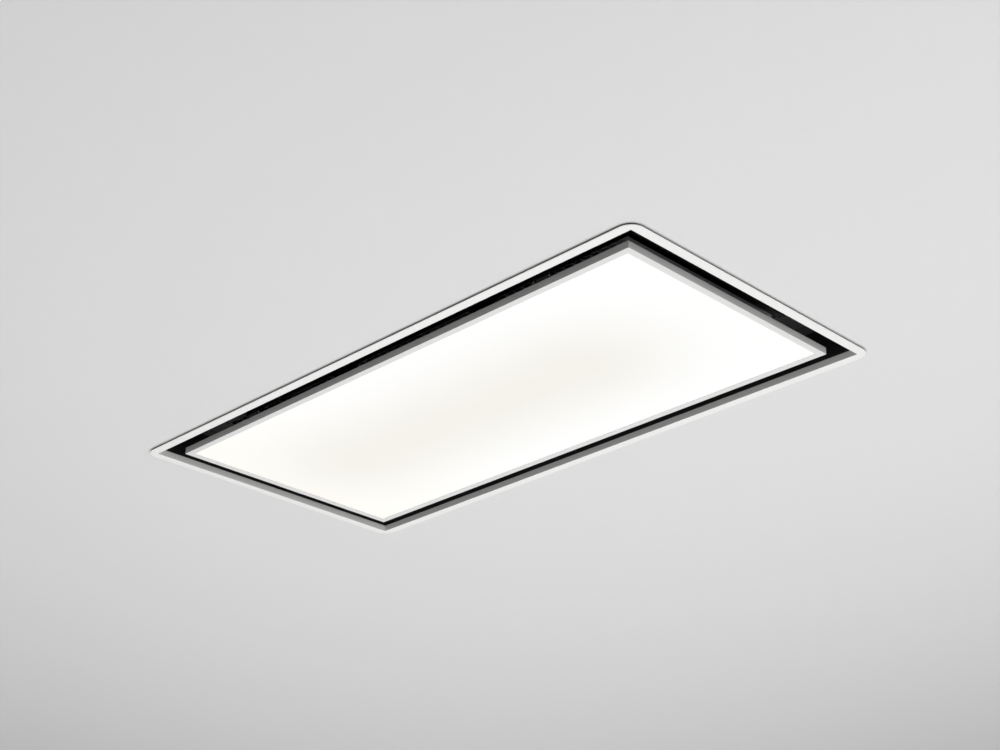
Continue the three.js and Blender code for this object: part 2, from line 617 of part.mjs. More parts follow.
function impeller() {
  const { impellerRadius, ringThickness, hubRadius, bladeSink } = blower;
  const wall = blower.plateThickness;
  const bladeTop = ringThickness + bladeHeight;
  const rimRadius = motor.radius + blower.bowlRimGap;
  const floorRadius = motor.radius + blower.bowlFloorGap;
  const floorZ = bladeTop - blower.bowlDepth;
  const hubZ = floorZ - blower.hubDrop;
  const shaftTop = motorBottom - blower.floorGap + motor.shaftReach;
  let body = turned([
    [0, hubZ], [hubRadius, hubZ], [hubRadius, floorZ], [floorRadius, floorZ], [rimRadius, bladeTop],
    [impellerRadius, bladeTop], [impellerRadius, bladeTop + wall], [rimRadius - wall, bladeTop + wall],
    [floorRadius - wall, floorZ + wall], [motor.shaftRadius, floorZ + wall], [motor.shaftRadius, shaftTop],
    [0, shaftTop],
  ], 36);
  const ringInner = blower.bladeInnerRadius + blower.ringInset;
  const ring = turned([
    [ringInner, 0], [impellerRadius, 0], [impellerRadius, ringThickness], [ringInner, ringThickness],
    [ringInner, 0],
  ], 36);
  const blade = prism(bladeOutline(), ringThickness - bladeSink, bladeTop + bladeSink);
  for (let i = 0; i < blower.blades; i += 1) {
    body = body.add(blade.rotate([0, 0, (360 * i) / blower.blades]));
  }
  return body.add(ring);
}

// Motor can with a pressed band and a bore that the impeller's shaft runs in.
function motorBody() {
  const { radius, length, edge, bossRadius, bandFrom, bandTo, bandSlope } = motor;
  const top = plateZ - seat;
  const bottom = motorBottom;
  const bossZ = bottom - motor.bossHeight;
  const bore = motor.shaftRadius + seat;
  const boreTop = bottom + motor.shaftReach + motor.boreEndGap;
  const waist = radius - motor.bandDepth;
  return turned([
    [0, boreTop], [bore, boreTop], [bore, bossZ], [bossRadius, bossZ], [bossRadius, bottom],
    [radius - edge, bottom], [radius, bottom + edge], [radius, bottom + length * bandFrom],
    [waist, bottom + length * (bandFrom + bandSlope)], [waist, bottom + length * (bandTo - bandSlope)],
    [radius, bottom + length * bandTo], [radius, top], [0, top],
  ], 28);
}

function bushPlaces() {
  return Array.from({ length: motor.bushes }, (_, i) => Math.PI / 6 + (2 * Math.PI * i) / motor.bushes);
}

function motorPlate() {
  const { plateRadius, lobeRadius, bushRadius, plateSheet } = motor;
  let body = rod(plateRadius, plateSheet, 28);
  for (const angle of bushPlaces()) {
    const at = [lobeRadius * Math.cos(angle), lobeRadius * Math.sin(angle), 0];
    const lobe = rod(bushRadius + motor.lobeMargin, plateSheet, 14).translate(at);
    const hole = rod(motor.boltRadius, drill, 8).translate(at);
    body = body.add(lobe).subtract(hole);
  }
  return body.subtract(rod(motor.plateBore, drill, 16));
}

function motorBush() {
  const { bushRadius: outer, bushHeight: height, bushBore: bore } = motor;
  const waist = outer - motor.bushWaist;
  const rim = height * motor.bushRim;
  const slope = height * motor.bushSlope;
  return turned([
    [bore, 0], [outer, 0], [outer, rim], [waist, rim + slope], [waist, height - rim - slope],
    [outer, height - rim], [outer, height], [bore, height], [bore, 0],
  ], 12);
}

function motorBoxShell() {
  const { half, sheet, flange, beads, beadPitch } = motorBox;
  const inside = half - sheet;
  let shell = block(-half, half, -half, half, roofZ, overallHeight)
    .subtract(block(-inside, inside, -inside, inside, roofZ - over, overallHeight - sheet));
  const reach = half - motorBox.beadInset;
  const groove = pressedGroove(reach, housing.beadWidth / 2, housing.beadHeight, overallHeight, sheet);
  for (let i = 0; i < beads; i += 1) {
    const y = (i - (beads - 1) / 2) * beadPitch;
    shell = shell.add(groove.raised.translate([0, y, 0])).subtract(groove.hollow.translate([0, y, 0]));
  }
  const foot = frameRing(half + flange, half + flange, inside, inside, roofZ, roofZ + sheet);
  const outlet = rod(collarRadius - collar.wall, drill, 48).rotate([0, 90, 0])
    .translate([half, collarY, collarZ]);
  const leadHole = rod(lead.motorLeadRadius + lead.holeGap, drill).rotate([0, 90, 0])
    .translate([-half, lead.motorLeadY, motorLeadZ]);
  return join(shell, foot).subtract(outlet).subtract(leadHole);
}

// ---- Outlet collar and backdraught flaps, in the collar's own axes: +Z is along the duct ------------
function outletCollar() {
  const { length, seatInset, beadRadius } = collar;
  const radius = collarRadius;
  const bore = radius - collar.wall;
  const seatInner = bore - collar.seatRing;
  const seatTop = seatInset + collar.seatDepth;
  const beadZ = length - collar.beadInset;
  const spigot = turned([
    [bore, 0], [radius, 0], [radius, beadZ - beadRadius], [radius + beadRadius, beadZ],
    [radius, beadZ + beadRadius], [radius, length], [bore, length], [bore, seatTop], [seatInner, seatTop],
    [seatInner, seatInset], [bore, seatInset], [bore, 0],
  ], 36);
  const plate = prism(rectangle(collarFlange, collarFlange, collar.flangeCorner), 0, collar.flangeSheet)
    .subtract(rod(bore + collar.plateGap, drill, 36));
  const notch = rod(flap.spindleRadius + flap.runningGap, 2 * bore - seat, 16).rotate([90, 0, 0]);
  return join(spigot, plate).subtract(notch.translate([0, 0, flapZ]));
}

const flapZ = collar.seatInset + collar.seatDepth + seat + flap.sheet / 2; // flap plane along the duct

// A half disc with two barrels on the spindle, which runs along the collar's Y. first is the place of
// its first barrel among the four.
function flapDisc(side, first) {
  const { sheet, hubGap } = flap;
  const radius = collarRadius - collar.wall - flap.rimGap;
  const disc = rod(radius, sheet, 36);
  const keep = side > 0 ? block(hubGap, radius + over, -radius, radius, -drill, drill)
    : block(-radius - over, -hubGap, -radius, radius, -drill, drill);
  const reach = side > 0 ? [over, hubGap + over] : [-hubGap - over, -over];
  let body = disc.intersect(keep);
  for (const step of [0, 2]) {
    const from = (first + step - 2) * barrelLength;
    const barrel = rod(flap.barrelRadius, barrelLength - 2 * seat, 12).rotate([90, 0, 0])
      .translate([0, from + barrelLength / 2, 0]);
    const web = block(reach[0], reach[1], from + seat, from + barrelLength - seat, -sheet / 2, sheet / 2);
    body = body.add(barrel).add(web);
  }
  const bore = rod(flap.spindleRadius + flap.runningGap, 4 * radius, 12).rotate([90, 0, 0]);
  return body.subtract(bore);
}

function flapSpindle() {
  const length = 2 * (collarRadius - collar.wall - flap.spindleEndGap);
  return rod(flap.spindleRadius, length, 12).rotate([90, 0, 0]);
}

// ---- Control box, leads and hangers -----------------------------------------------------------------
const leadTopY = controlBox.y - controlBox.halfY + controlBox.leadInset;
const leadDropY = -innerY + channel.flange + lead.radius + lead.wallDistance;
const motorLeadZ = roofZ + lead.motorLeadRise;
const glandZ = roofZ + gland.rise;
const boxFloor = roofZ + controlBox.sheet;

function controlTray() {
  const { halfX, halfY, height, sheet } = controlBox;
  const insideX = halfX - sheet;
  const insideY = halfY - sheet;
  const top = roofZ + height;
  const shell = block(-halfX, halfX, -halfY, halfY, roofZ, top)
    .subtract(block(-insideX, insideX, -insideY, insideY, boxFloor, top + over));
  const leadHole = rod(lead.radius + lead.holeGap, drill)
    .translate([leadX - controlBox.x, leadTopY - controlBox.y, roofZ]);
  const glandHole = rod(gland.bodyRadius + seat, drill).rotate([0, 90, 0])
    .translate([-halfX, gland.y, glandZ]);
  const motorHole = rod(lead.motorLeadRadius + lead.holeGap, drill).rotate([0, 90, 0])
    .translate([halfX, lead.motorLeadY - controlBox.y, motorLeadZ]);
  return shell.subtract(leadHole).subtract(glandHole).subtract(motorHole);
}

// Lid with a row of vent slots over the lamp driver.
function controlLid() {
  const { sheet, vents, ventX } = controlBox;
  const top = roofZ + controlBox.height + seat;
  const edge = top - controlBox.lidDrop;
  const insideX = controlBox.halfX + seat;
  const insideY = controlBox.halfY + seat;
  const reach = controlBox.ventLength / 2;
  const half = controlBox.ventWidth / 2;
  const slot = block(ventX - reach, ventX + reach, -half, half, top - over, top + sheet + over);
  let lid = block(-insideX - sheet, insideX + sheet, -insideY - sheet, insideY + sheet, edge, top + sheet)
    .subtract(block(-insideX, insideX, -insideY, insideY, edge - over, top));
  for (let i = 0; i < vents; i += 1) {
    const y = (i - (vents - 1) / 2) * controlBox.ventPitch;
    lid = lid.subtract(slot.translate([0, y, 0]));
  }
  return lid;
}

function controlBoard() {
  const { halfX, halfY, standoff, footInset } = board;
  const face = standoff + board.thickness;
  const root = standoff + board.thickness / 2;
  const plate = block(-halfX, halfX, -halfY, halfY, standoff, face);
  const chokeHigh = face + board.chokeHeight - root;
  const choke = rod(board.chokeRadius, chokeHigh)
    .translate([-halfX + board.chokeX, board.chokeY, root + chokeHigh / 2]);
  const stripX = halfX - board.terminalX;
  const terminals = block(stripX - board.terminalWidth, stripX, board.terminalY,
    board.terminalY + board.terminalLength, root, face + board.terminalHeight);
  let body = join(plate, choke, terminals);
  for (let i = 0; i < board.relays; i += 1) {
    const x = -halfX + board.relayX;
    const y = board.relayY + i * board.relayPitch;
    body = body.add(block(x, x + board.relayLength, y, y + board.relayWidth, root, face + board.relayHeight));
  }
  const foot = rod(board.footRadius, root - seat, 12).translate([0, 0, (root + seat) / 2]);
  for (const sx of [-1, 1]) {
    for (const sy of [-1, 1]) {
      body = body.add(foot.translate([sx * (halfX - footInset), sy * (halfY - footInset), 0]));
    }
  }
  return body;
}

function ledDriver() {
  return prism(rectangle(driver.halfX, driver.halfY, driver.cornerRadius), 0, driver.height, 3);
}

// Screw gland with its hexagon, clamp dome and bore, along +Z.
function cableGland() {
  const { flangeRadius, bodyRadius, boreRadius, reach, collarLength, tail, barrel, shoulder } = gland;
  const tailRadius = bodyRadius - gland.tailInset;
  const dome = turned([
    [boreRadius, -tail], [tailRadius, -tail], [tailRadius, over], [bodyRadius, over], [bodyRadius, barrel],
    [bodyRadius - gland.shoulderInset, shoulder], [bodyRadius - gland.noseInset, reach], [boreRadius, reach],
    [boreRadius, -tail],
  ], 16);
  const hexagon = rod(flangeRadius, collarLength, 6).translate([0, 0, collarLength / 2 + seat]);
  return join(hexagon.subtract(rod(boreRadius + over, 2 * drill)), dome);
}

// C-shaped hanger: a foot on the roof, a web and an ear with the hole for the hanging rod.
function hangerBracket() {
  const { length, width, height, sheet, ear, gussetSink } = hanger;
  const outline = [[0, 0], [length, 0], [length, sheet], [sheet, sheet], [sheet, height - sheet],
    [ear, height - sheet], [ear, height], [0, height]];
  const profile = new THREE.Shape(outline.map(([x, y]) => new THREE.Vector2(x, y)));
  const bent = prism(profile, -width / 2, width / 2).rotate([90, 0, 0]);
  const corner = [[0, 0], [hanger.gussetDepth, 0], [0, hanger.gussetHeight]];
  const gusset = new THREE.Shape(corner.map(([x, y]) => new THREE.Vector2(x, y)));
  const rib = prism(gusset, -sheet / 2, sheet / 2).rotate([90, 0, 0])
    .translate([sheet - gussetSink, 0, sheet - gussetSink]);
  const hole = rod(hanger.holeRadius, drill).translate([ear / 2 + hanger.holeShift, 0, height]);
  let body = join(bent, rib).subtract(hole);
  for (const side of [-1, 1]) {
    const screw = rod(hanger.screwRadius, drill, 12);
    body = body.subtract(screw.translate([length - hanger.screwInset, (side * width) / 4, 0]));
  }
  return body;
}

// From the control box down through the roof and the deck to the light panel's socket.
function panelLeadRoute() {
  const x = leadX;
  const plug = socket.y - socket.halfY - seat;
  const plugZ = tray.plateauTop + socket.plugRise;
  const height = (share) => deckTop + share * (roofZ - deckTop);
  return [
    [x, leadTopY, roofZ + 10], [x, leadTopY, height(0.85)], [x, leadTopY - 9, height(0.6)],
    [x, leadTopY - 20, height(0.51)], [x, leadTopY - 36, height(0.45)],
    [x, (leadTopY + leadDropY) / 2, height(0.42)], [x, leadDropY + 44, height(0.41)],
    [x, leadDropY + 28, height(0.37)], [x, leadDropY + 8, height(0.25)], [x, leadDropY, height(0.09)],
    [x, leadDropY, deckTop - 8], [x, leadDropY + 2, deckTop - 20],
    [x, (leadDropY + plug) / 2 + 1, plugZ + 2], [x, plug - 8, plugZ], [x, plug, plugZ],
  ];
}

function motorLeadRoute() {
  const { motorLeadY: y, grip } = lead;
  const from = controlBox.x + controlBox.halfX - lead.inside;
  const to = motorBox.x - motorBox.half + lead.inside;
  const span = to - from - 2 * grip;
  const hanging = Array.from({ length: lead.sagPoints }, (_, i) => {
    const share = i / (lead.sagPoints - 1);
    return [from + grip + share * span, y, motorLeadZ - lead.sag * Math.sin(Math.PI * share) ** 2];
  });
  return [[from, y, motorLeadZ], ...hanging, [to, y, motorLeadZ]];
}

function leadSocket() {
  const z0 = tray.plateauTop + seat;
  const { halfX, halfY, height } = socket;
  const footX = halfX + socket.footReach;
  return block(-halfX, halfX, -halfY, halfY, z0, z0 + height)
    .add(block(-footX, footX, -halfY, halfY, z0, z0 + socket.footSheet));
}

// ---- Assembly -------------------------------------------------------------------------------------
function buildHousing() {
  place(hood, 'ceiling_frame', ceilingFrame(), whitePaint);
  place(hood, 'ceiling_gasket', ceilingGasket(), foam);
  place(hood, 'housing_wrap', housingWrap(), galvanised);
  place(hood, 'housing_end_right', housingEnd(), galvanised, housingX);
  place(hood, 'housing_end_left', housingEnd(), galvanised, -housingX).rotation.z = Math.PI;
  const longSkirt = channelSkirt(innerX + channel.sheet);
  const shortSkirt = channelSkirt(innerY - seat);
  place(hood, 'channel_skirt_front', longSkirt, blackPaint, 0, innerY);
  place(hood, 'channel_skirt_back', longSkirt, blackPaint, 0, -innerY).rotation.z = Math.PI;
  place(hood, 'channel_skirt_left', shortSkirt, blackPaint, -innerX).rotation.z = Math.PI / 2;
  place(hood, 'channel_skirt_right', shortSkirt, blackPaint, innerX).rotation.z = -Math.PI / 2;
  place(hood, 'filter_deck', filterDeck(), blackPaint);
}

function buildFilters() {
  const frame = filterFrame();
  const mesh = filterMesh();
  const slide = filterLatch();
  const slideY = filter.width / 2 + filter.sideGap;
  filterPlaces().forEach((x, i) => {
    place(hood, `filter_frame_${i + 1}`, frame, blackAluminium, x, 0, filterBottom);
    place(hood, `filter_mesh_${i + 1}`, mesh, aluminium, x, 0, filterBottom);
    place(hood, `filter_latch_${i + 1}`, slide, greyPlastic, x, slideY, filterBottom - seat);
  });
}

function buildBlower() {
  const group = new THREE.Group();
  group.position.set(blower.x, blower.y, scrollBaseZ);
  hood.add(group);
  place(group, 'inlet_cover', inletCover(), greyPlastic);
  place(group, 'scroll_housing', scrollHousing(), greyPlastic);
  place(group, 'impeller', impeller(), blackPlastic, 0, 0, blower.floorGap);
  place(group, 'motor', motorBody(), steel);
  place(group, 'motor_plate', motorPlate(), zincPlate, 0, 0, plateZ + motor.plateSheet / 2);
  bushPlaces().forEach((angle, i) => {
    const x = motor.lobeRadius * Math.cos(angle);
    const y = motor.lobeRadius * Math.sin(angle);
    place(group, `motor_bush_${i + 1}`, motorBush(), rubber, x, y, scrollHeight + seat);
  });
  place(hood, 'motor_box', motorBoxShell(), galvanised, motorBox.x);
}

function buildOutlet() {
  const group = new THREE.Group();
  group.position.set(boxWallX + seat, collarY, collarZ);
  group.rotation.set(Math.PI / 2, Math.PI / 2, 0);
  hood.add(group);
  place(group, 'outlet_collar', outletCollar(), blackPlastic);
  place(group, 'flap_spindle', flapSpindle(), steel, 0, 0, flapZ);
  place(group, 'flap_left', flapDisc(-1, 0), greyPlastic, 0, 0, flapZ);
  place(group, 'flap_right', flapDisc(1, 1), greyPlastic, 0, 0, flapZ);
}

function buildControls() {
  const { x, y, halfX } = controlBox;
  place(hood, 'control_box', controlTray(), galvanised, x, y);
  place(hood, 'control_box_lid', controlLid(), galvanised, x, y);
  place(hood, 'control_board', controlBoard(), boardGreen, x + board.shiftX, y, boxFloor);
  place(hood, 'led_driver', ledDriver(), boardWhite, x + driver.shiftX, y, boxFloor + seat);
  const entry = place(hood, 'cable_gland', cableGland(), blackPlastic, x - halfX, y + gland.y, glandZ);
  entry.rotation.y = -Math.PI / 2;
  place(hood, 'motor_lead', tube(motorLeadRoute(), lead.motorLeadRadius, 1), rubber);
  place(hood, 'panel_lead', tube(panelLeadRoute(), lead.radius), rubber);
}

function buildHangers() {
  const x = housingX - hanger.inset;
  const y = housingY - hanger.inset - hanger.width / 2;
  const corners = [[1, 1], [-1, 1], [-1, -1], [1, -1]];
  corners.forEach(([sx, sy], i) => {
    const bracket = place(hood, `hanger_bracket_${i + 1}`, hangerBracket(), zincPlate, sx * x, sy * y, roofZ);
    bracket.rotation.z = sx > 0 ? Math.PI : 0;
  });
}

function buildLightPanel() {
  const group = new THREE.Group();
  hood.add(group);
  place(group, 'panel_frame', panelFrame(), whitePaint);
  place(group, 'panel_diffuser', panelDiffuser(), opal);
  place(group, 'light_guide', lightGuidePlate(), acrylic);
  place(group, 'led_strip_front', ledBoard(), boardWhite, 0, ledOuterY);
  place(group, 'led_strip_back', ledBoard(), boardWhite, 0, -ledOuterY + ledStrip.board);
  place(group, 'panel_back_tray', panelBackTray(), blackPaint);
  place(group, 'lead_socket', leadSocket(), blackPlastic, leadX, socket.y);
  for (const [side, name] of [[-1, 'left'], [1, 'right']]) {
    const x = side * hingeX;
    place(group, `hinge_leaf_${name}`, hingeLeaf(), blackPaint, x, hingeY, hinge.axisHeight);
    place(group, `catch_keeper_${name}`, catchKeeper(), zincPlate, side * catchX);
    place(hood, `hinge_pin_${name}`, hingePin(), steel, x, hingeY, hinge.axisHeight);
    place(hood, `hinge_bracket_${name}`, hingeBracket(), blackPaint, x, hingeY, hinge.axisHeight);
    place(hood, `catch_magnet_${name}`, catchMagnet(), magnetGrey, side * catchX);
  }
}

buildHousing();
buildFilters();
buildBlower();
buildOutlet();
buildControls();
buildHangers();
buildLightPanel();

export default hood;
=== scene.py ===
import json
import math
import random

import bmesh
import bpy
from mathutils import Matrix, Vector


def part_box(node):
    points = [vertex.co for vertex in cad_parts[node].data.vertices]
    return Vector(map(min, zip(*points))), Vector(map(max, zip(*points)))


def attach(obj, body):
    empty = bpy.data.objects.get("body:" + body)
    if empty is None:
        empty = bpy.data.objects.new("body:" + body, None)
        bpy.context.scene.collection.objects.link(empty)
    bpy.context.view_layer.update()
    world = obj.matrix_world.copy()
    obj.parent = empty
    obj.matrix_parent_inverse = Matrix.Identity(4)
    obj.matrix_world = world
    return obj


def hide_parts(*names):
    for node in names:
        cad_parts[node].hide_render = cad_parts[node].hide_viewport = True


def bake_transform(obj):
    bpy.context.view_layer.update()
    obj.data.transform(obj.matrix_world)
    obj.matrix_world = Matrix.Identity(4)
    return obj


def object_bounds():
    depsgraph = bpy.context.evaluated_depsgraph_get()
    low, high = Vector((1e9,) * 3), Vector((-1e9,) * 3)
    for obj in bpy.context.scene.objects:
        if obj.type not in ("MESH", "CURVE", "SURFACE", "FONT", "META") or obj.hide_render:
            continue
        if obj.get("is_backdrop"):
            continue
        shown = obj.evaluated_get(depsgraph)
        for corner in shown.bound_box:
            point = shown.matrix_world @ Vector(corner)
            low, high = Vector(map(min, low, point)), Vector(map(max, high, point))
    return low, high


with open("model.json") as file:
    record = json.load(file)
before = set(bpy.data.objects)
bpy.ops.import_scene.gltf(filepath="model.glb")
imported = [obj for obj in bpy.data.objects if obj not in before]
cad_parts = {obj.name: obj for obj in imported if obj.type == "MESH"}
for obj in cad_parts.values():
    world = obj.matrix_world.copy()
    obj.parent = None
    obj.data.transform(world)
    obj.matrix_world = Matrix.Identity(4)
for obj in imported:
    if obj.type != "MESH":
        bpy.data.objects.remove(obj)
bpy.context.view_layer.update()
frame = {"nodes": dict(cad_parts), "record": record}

mm = 0.001
dice = random.Random(7)
print("hood frame loaded:", len(frame["nodes"]), "nodes")


# Node helpers.
def feed(tree, value, socket):
    # Links an output to a socket, or gives the socket a fixed number or colour.
    if isinstance(value, bpy.types.NodeSocket):
        tree.links.new(value, socket)
    else:
        socket.default_value = (*value, 1) if isinstance(value, tuple) else value


def feedAll(tree, values, node):
    # The same for a node's inputs in their order.
    for value, socket in zip(values, node.inputs):
        feed(tree, value, socket)


def addNode(tree, kind, **settings):
    # A node with its inputs and its own settings given by name.
    node = tree.nodes.new(kind)
    for key, value in settings.items():
        label = key.replace("_", " ")
        if label in node.inputs:
            feed(tree, value, node.inputs[label])
        else:
            setattr(node, key, value)
    return node


def rangeNode(tree, source, low, high, toLow, toHigh):
    # Stretches a source from one range of values to another.
    node = addNode(tree, "ShaderNodeMapRange", Value=source, From_Min=low, From_Max=high,
                   To_Min=toLow, To_Max=toHigh)
    return node.outputs["Result"]


def mathNode(tree, operation, *terms, clamp=False):
    # One step of arithmetic on outputs and fixed numbers.
    node = addNode(tree, "ShaderNodeMath", operation=operation, use_clamp=clamp)
    feedAll(tree, terms, node)
    return node.outputs[0]


def vectorNode(tree, operation, *terms):
    # The same for vectors. A length or a dot product comes out as a number.
    node = addNode(tree, "ShaderNodeVectorMath", operation=operation)
    feedAll(tree, terms, node)
    return node.outputs["Value" if operation in ("LENGTH", "DOT_PRODUCT") else "Vector"]


def noiseNode(tree, place, scale, detail, roughness=0.5):
    return addNode(tree, "ShaderNodeTexNoise", Vector=place, Scale=scale, Detail=detail,
                   Roughness=roughness).outputs


def mixShaders(tree, mask, first, second):
    node = addNode(tree, "ShaderNodeMixShader")
    feedAll(tree, (mask, first, second), node)
    return node.outputs[0]


def seenBy(tree, *kinds):
    # 1 for the camera's own rays and for the other kinds named, else 0.
    rays = addNode(tree, "ShaderNodeLightPath").outputs
    seen = rays["Is Camera Ray"]
    for kind in kinds:
        seen = mathNode(tree, "MAXIMUM", seen, rays[f"Is {kind} Ray"])
    return seen


def objectPlace(tree):
    return addNode(tree, "ShaderNodeTexCoord").outputs["Object"]


def startFinish(name, **constants):
    # A new material; the constants go to its shader's own sockets.
    finish = bpy.data.materials.new(name)
    finish.use_nodes = True
    tree = finish.node_tree
    surface = tree.nodes["Principled BSDF"]
    for key, value in constants.items():
        feed(tree, value, surface.inputs[key.replace("_", " ")])
    return finish, tree, surface


# Camera: below the ceiling, where the photo was taken from.
cameraSettings = {
    "place": (1.6813, -1.6549, -1.0900),
    "lookAt": (0.0904, -0.0623, 0.0),
    "roll": 0.18,  # degrees
    "lens": 63.96,  # mm
    "sensor": 36,  # mm, width
    "nearest": 0.01,
    "farthest": 60,
}


def aimAt(thing, target, roll=0.0):
    # Turns a camera or a lamp towards a place.
    aim = (Vector(target) - thing.location).to_track_quat("-Z", "Y")
    turn = Matrix.Rotation(math.radians(roll), 3, "Z").to_quaternion()
    thing.rotation_mode = "QUATERNION"
    thing.rotation_quaternion = aim @ turn


def setCamera(settings):
    bpy.ops.object.camera_add(location=settings["place"])
    camera = bpy.context.object
    camera.name = "photoCamera"
    camera.data.lens = settings["lens"]
    camera.data.sensor_width = settings["sensor"]
    camera.data.clip_start = settings["nearest"]
    camera.data.clip_end = settings["farthest"]
    aimAt(camera, settings["lookAt"], settings["roll"])
    bpy.context.scene.camera = camera


# Lamps and air. Three lamps light the face of the hood from below, two its duct side from above.
lampSettings = [
    # name, place, aim, size, power
    ("lampBelow", (0.15, -0.1, -2.5), (0.0, 0.0, 0.0), 3.0, 47.0),
    ("lampFar", (-1.8, 1.8, -2.4), (-1.2, 1.2, 0.0), 2.4, 18.0),
    ("lampRight", (2.4, 0.5, -1.0), (0.3, 0.0, 0.0), 2.2, 18.0),
    ("lampAbove", (-0.6, -1.0, 2.6), (0.0, 0.0, 0.1), 4.0, 46.0),
    ("lampAboveSide", (2.6, 1.8, 1.5), (0.0, 0.0, 0.1), 3.0, 13.0),
]
airSettings = {
    "light": 0.30,  # strength on the hood
    "seen": 0.80,  # strength where the camera or a reflection meets it
    "colour": (1.0, 1.0, 1.0),
}


def addLamps(rows):
    for name, place, aim, size, power in rows:
        bpy.ops.object.light_add(type="AREA", location=place)
        lamp = bpy.context.object
        lamp.name = name
        lamp.data.shape = "DISK"
        lamp.data.size = size
        lamp.data.energy = power
        lamp.visible_camera = False
        aimAt(lamp, aim)


def addAir(settings):
    world = bpy.data.worlds.new("studioAir")
    bpy.context.scene.world = world
    world.use_nodes = True
    tree = world.node_tree
    tree.nodes.clear()
    seen = seenBy(tree, "Glossy", "Transmission")
    strength = rangeNode(tree, seen, 0.0, 1.0, settings["light"], settings["seen"])
    air = addNode(tree, "ShaderNodeBackground", Color=settings["colour"], Strength=strength)
    addNode(tree, "ShaderNodeOutputWorld", Surface=air.outputs[0])


bpy.context.scene.view_settings.view_transform = "Standard"
setCamera(cameraSettings)
addLamps(lampSettings)
addAir(airSettings)
print("camera, lamps and air are set")


# Modelling helpers.
def deselectAll():
    if bpy.context.object and bpy.context.object.mode != "OBJECT":
        bpy.ops.object.mode_set(mode="OBJECT")
    bpy.ops.object.select_all(action="DESELECT")


def makeActive(piece):
    deselectAll()
    piece.select_set(True)
    bpy.context.view_layer.objects.active = piece


def applyPlace(piece):
    makeActive(piece)
    bpy.ops.object.transform_apply(location=True, rotation=True, scale=True)


def enterEdit(piece, kind="FACE", action="DESELECT"):
    makeActive(piece)
    bpy.ops.object.mode_set(mode="EDIT")
    bpy.ops.mesh.select_mode(type=kind)
    bpy.ops.mesh.select_all(action=action)


def leaveEdit():
    bpy.ops.object.mode_set(mode="OBJECT")


def pickEdges(piece, test):
    # Selects the edges that pass the test on the edge and the places of its two ends.
    mesh = bmesh.from_edit_mesh(piece.data)
    for edge in mesh.edges:
        first, second = (corner.co for corner in edge.verts)
        edge.select_set(bool(test(edge, first, second)))
    bmesh.update_edit_mesh(piece.data)


def startBox(name, low, high):
    deselectAll()
    centre = (Vector(low) + Vector(high)) / 2
    bpy.ops.mesh.primitive_cube_add(size=1, location=centre)
    piece = bpy.context.object
    piece.name = name
    piece.scale = Vector(high) - Vector(low)
    applyPlace(piece)
    return piece


def startPlane(name, halfX, halfY, z):
    deselectAll()
    bpy.ops.mesh.primitive_plane_add(size=2, location=(0, 0, z))
    piece = bpy.context.object
    piece.name = name
    piece.scale = (halfX, halfY, 1)
    applyPlace(piece)
    return piece


def addModifier(piece, kind, **settings):
    makeActive(piece)
    modifier = piece.modifiers.new(kind.title(), kind)
    for key, value in settings.items():
        setattr(modifier, key, value)
    bpy.ops.object.modifier_apply(modifier=modifier.name)


near = 0.1 * mm  # places closer than this count as the same


def extrudeBy(way):
    bpy.ops.mesh.extrude_region_move(TRANSFORM_OT_translate={"value": way})


def mergeDoubles(piece, distance):
    # Joins loose faces whose corners meet.
    enterEdit(piece, "VERT", "SELECT")
    bpy.ops.mesh.remove_doubles(threshold=distance)
    leaveEdit()


def faceDown(piece, z):
    # Turns an open sheet so that its faces at this level look down, with its folds to match.
    enterEdit(piece, "FACE", "SELECT")
    bpy.ops.mesh.normals_make_consistent(inside=False)
    mesh = bmesh.from_edit_mesh(piece.data)
    level = [face for face in mesh.faces if abs(face.calc_center_median().z - z) < near]
    if sum(face.normal.z for face in level) > 0:
        bpy.ops.mesh.flip_normals()
    leaveEdit()


def flatRing(name, outer, inner, z, radius=0.0, arcSteps=1):
    # A level ring between two rectangles of these half sizes. The outer one can have round corners.
    ring = startPlane(name, *inner, z)
    enterEdit(ring, "EDGE", "SELECT")
    bpy.ops.mesh.delete(type="ONLY_FACE")
    bpy.ops.mesh.primitive_plane_add(size=2, location=(0, 0, z))
    bpy.ops.transform.resize(value=(*outer, 1), center_override=(0, 0, z))
    if radius:
        bpy.ops.mesh.bevel(affect="VERTICES", offset=radius, segments=arcSteps)
    bpy.ops.mesh.delete(type="ONLY_FACE")
    bpy.ops.mesh.select_all(action="SELECT")
    bpy.ops.mesh.bridge_edge_loops()
    leaveEdit()
    return ring


def cutAway(piece, cutter):
    addModifier(piece, "BOOLEAN", operation="DIFFERENCE", solver="EXACT", object=cutter)
    bpy.data.objects.remove(cutter)


sharpAngle = 35  # degrees; steeper edges are rounded by softenEdges and kept sharp by smoothPiece


def softenEdges(piece, width, segments=2, miter="MITER_ARC"):
    addModifier(piece, "BEVEL", width=width, segments=segments, limit_method="ANGLE",
                angle_limit=math.radians(sharpAngle), use_clamp_overlap=True, miter_outer=miter)


def smoothPiece(piece, angle=sharpAngle):
    # Large faces decide the shading, so they stay flat beside their rounded edges.
    makeActive(piece)
    bpy.ops.object.shade_smooth_by_angle(angle=math.radians(angle))
    addModifier(piece, "WEIGHTED_NORMAL", mode="FACE_AREA_WITH_ANGLE", weight=50, keep_sharp=True)


def ownCopy(source):
    # A copy with a mesh of its own.
    copy = source.copy()
    copy.data = source.data.copy()
    bpy.context.scene.collection.objects.link(copy)
    return copy


def dress(piece, finish, body, slot, *nodes):
    # Gives a piece its finish and its body, and hides the nodes that it stands for. The slot is not used.
    piece.data.materials.clear()
    piece.data.materials.append(finish)
    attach(piece, body)
    if nodes:
        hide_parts(*nodes)


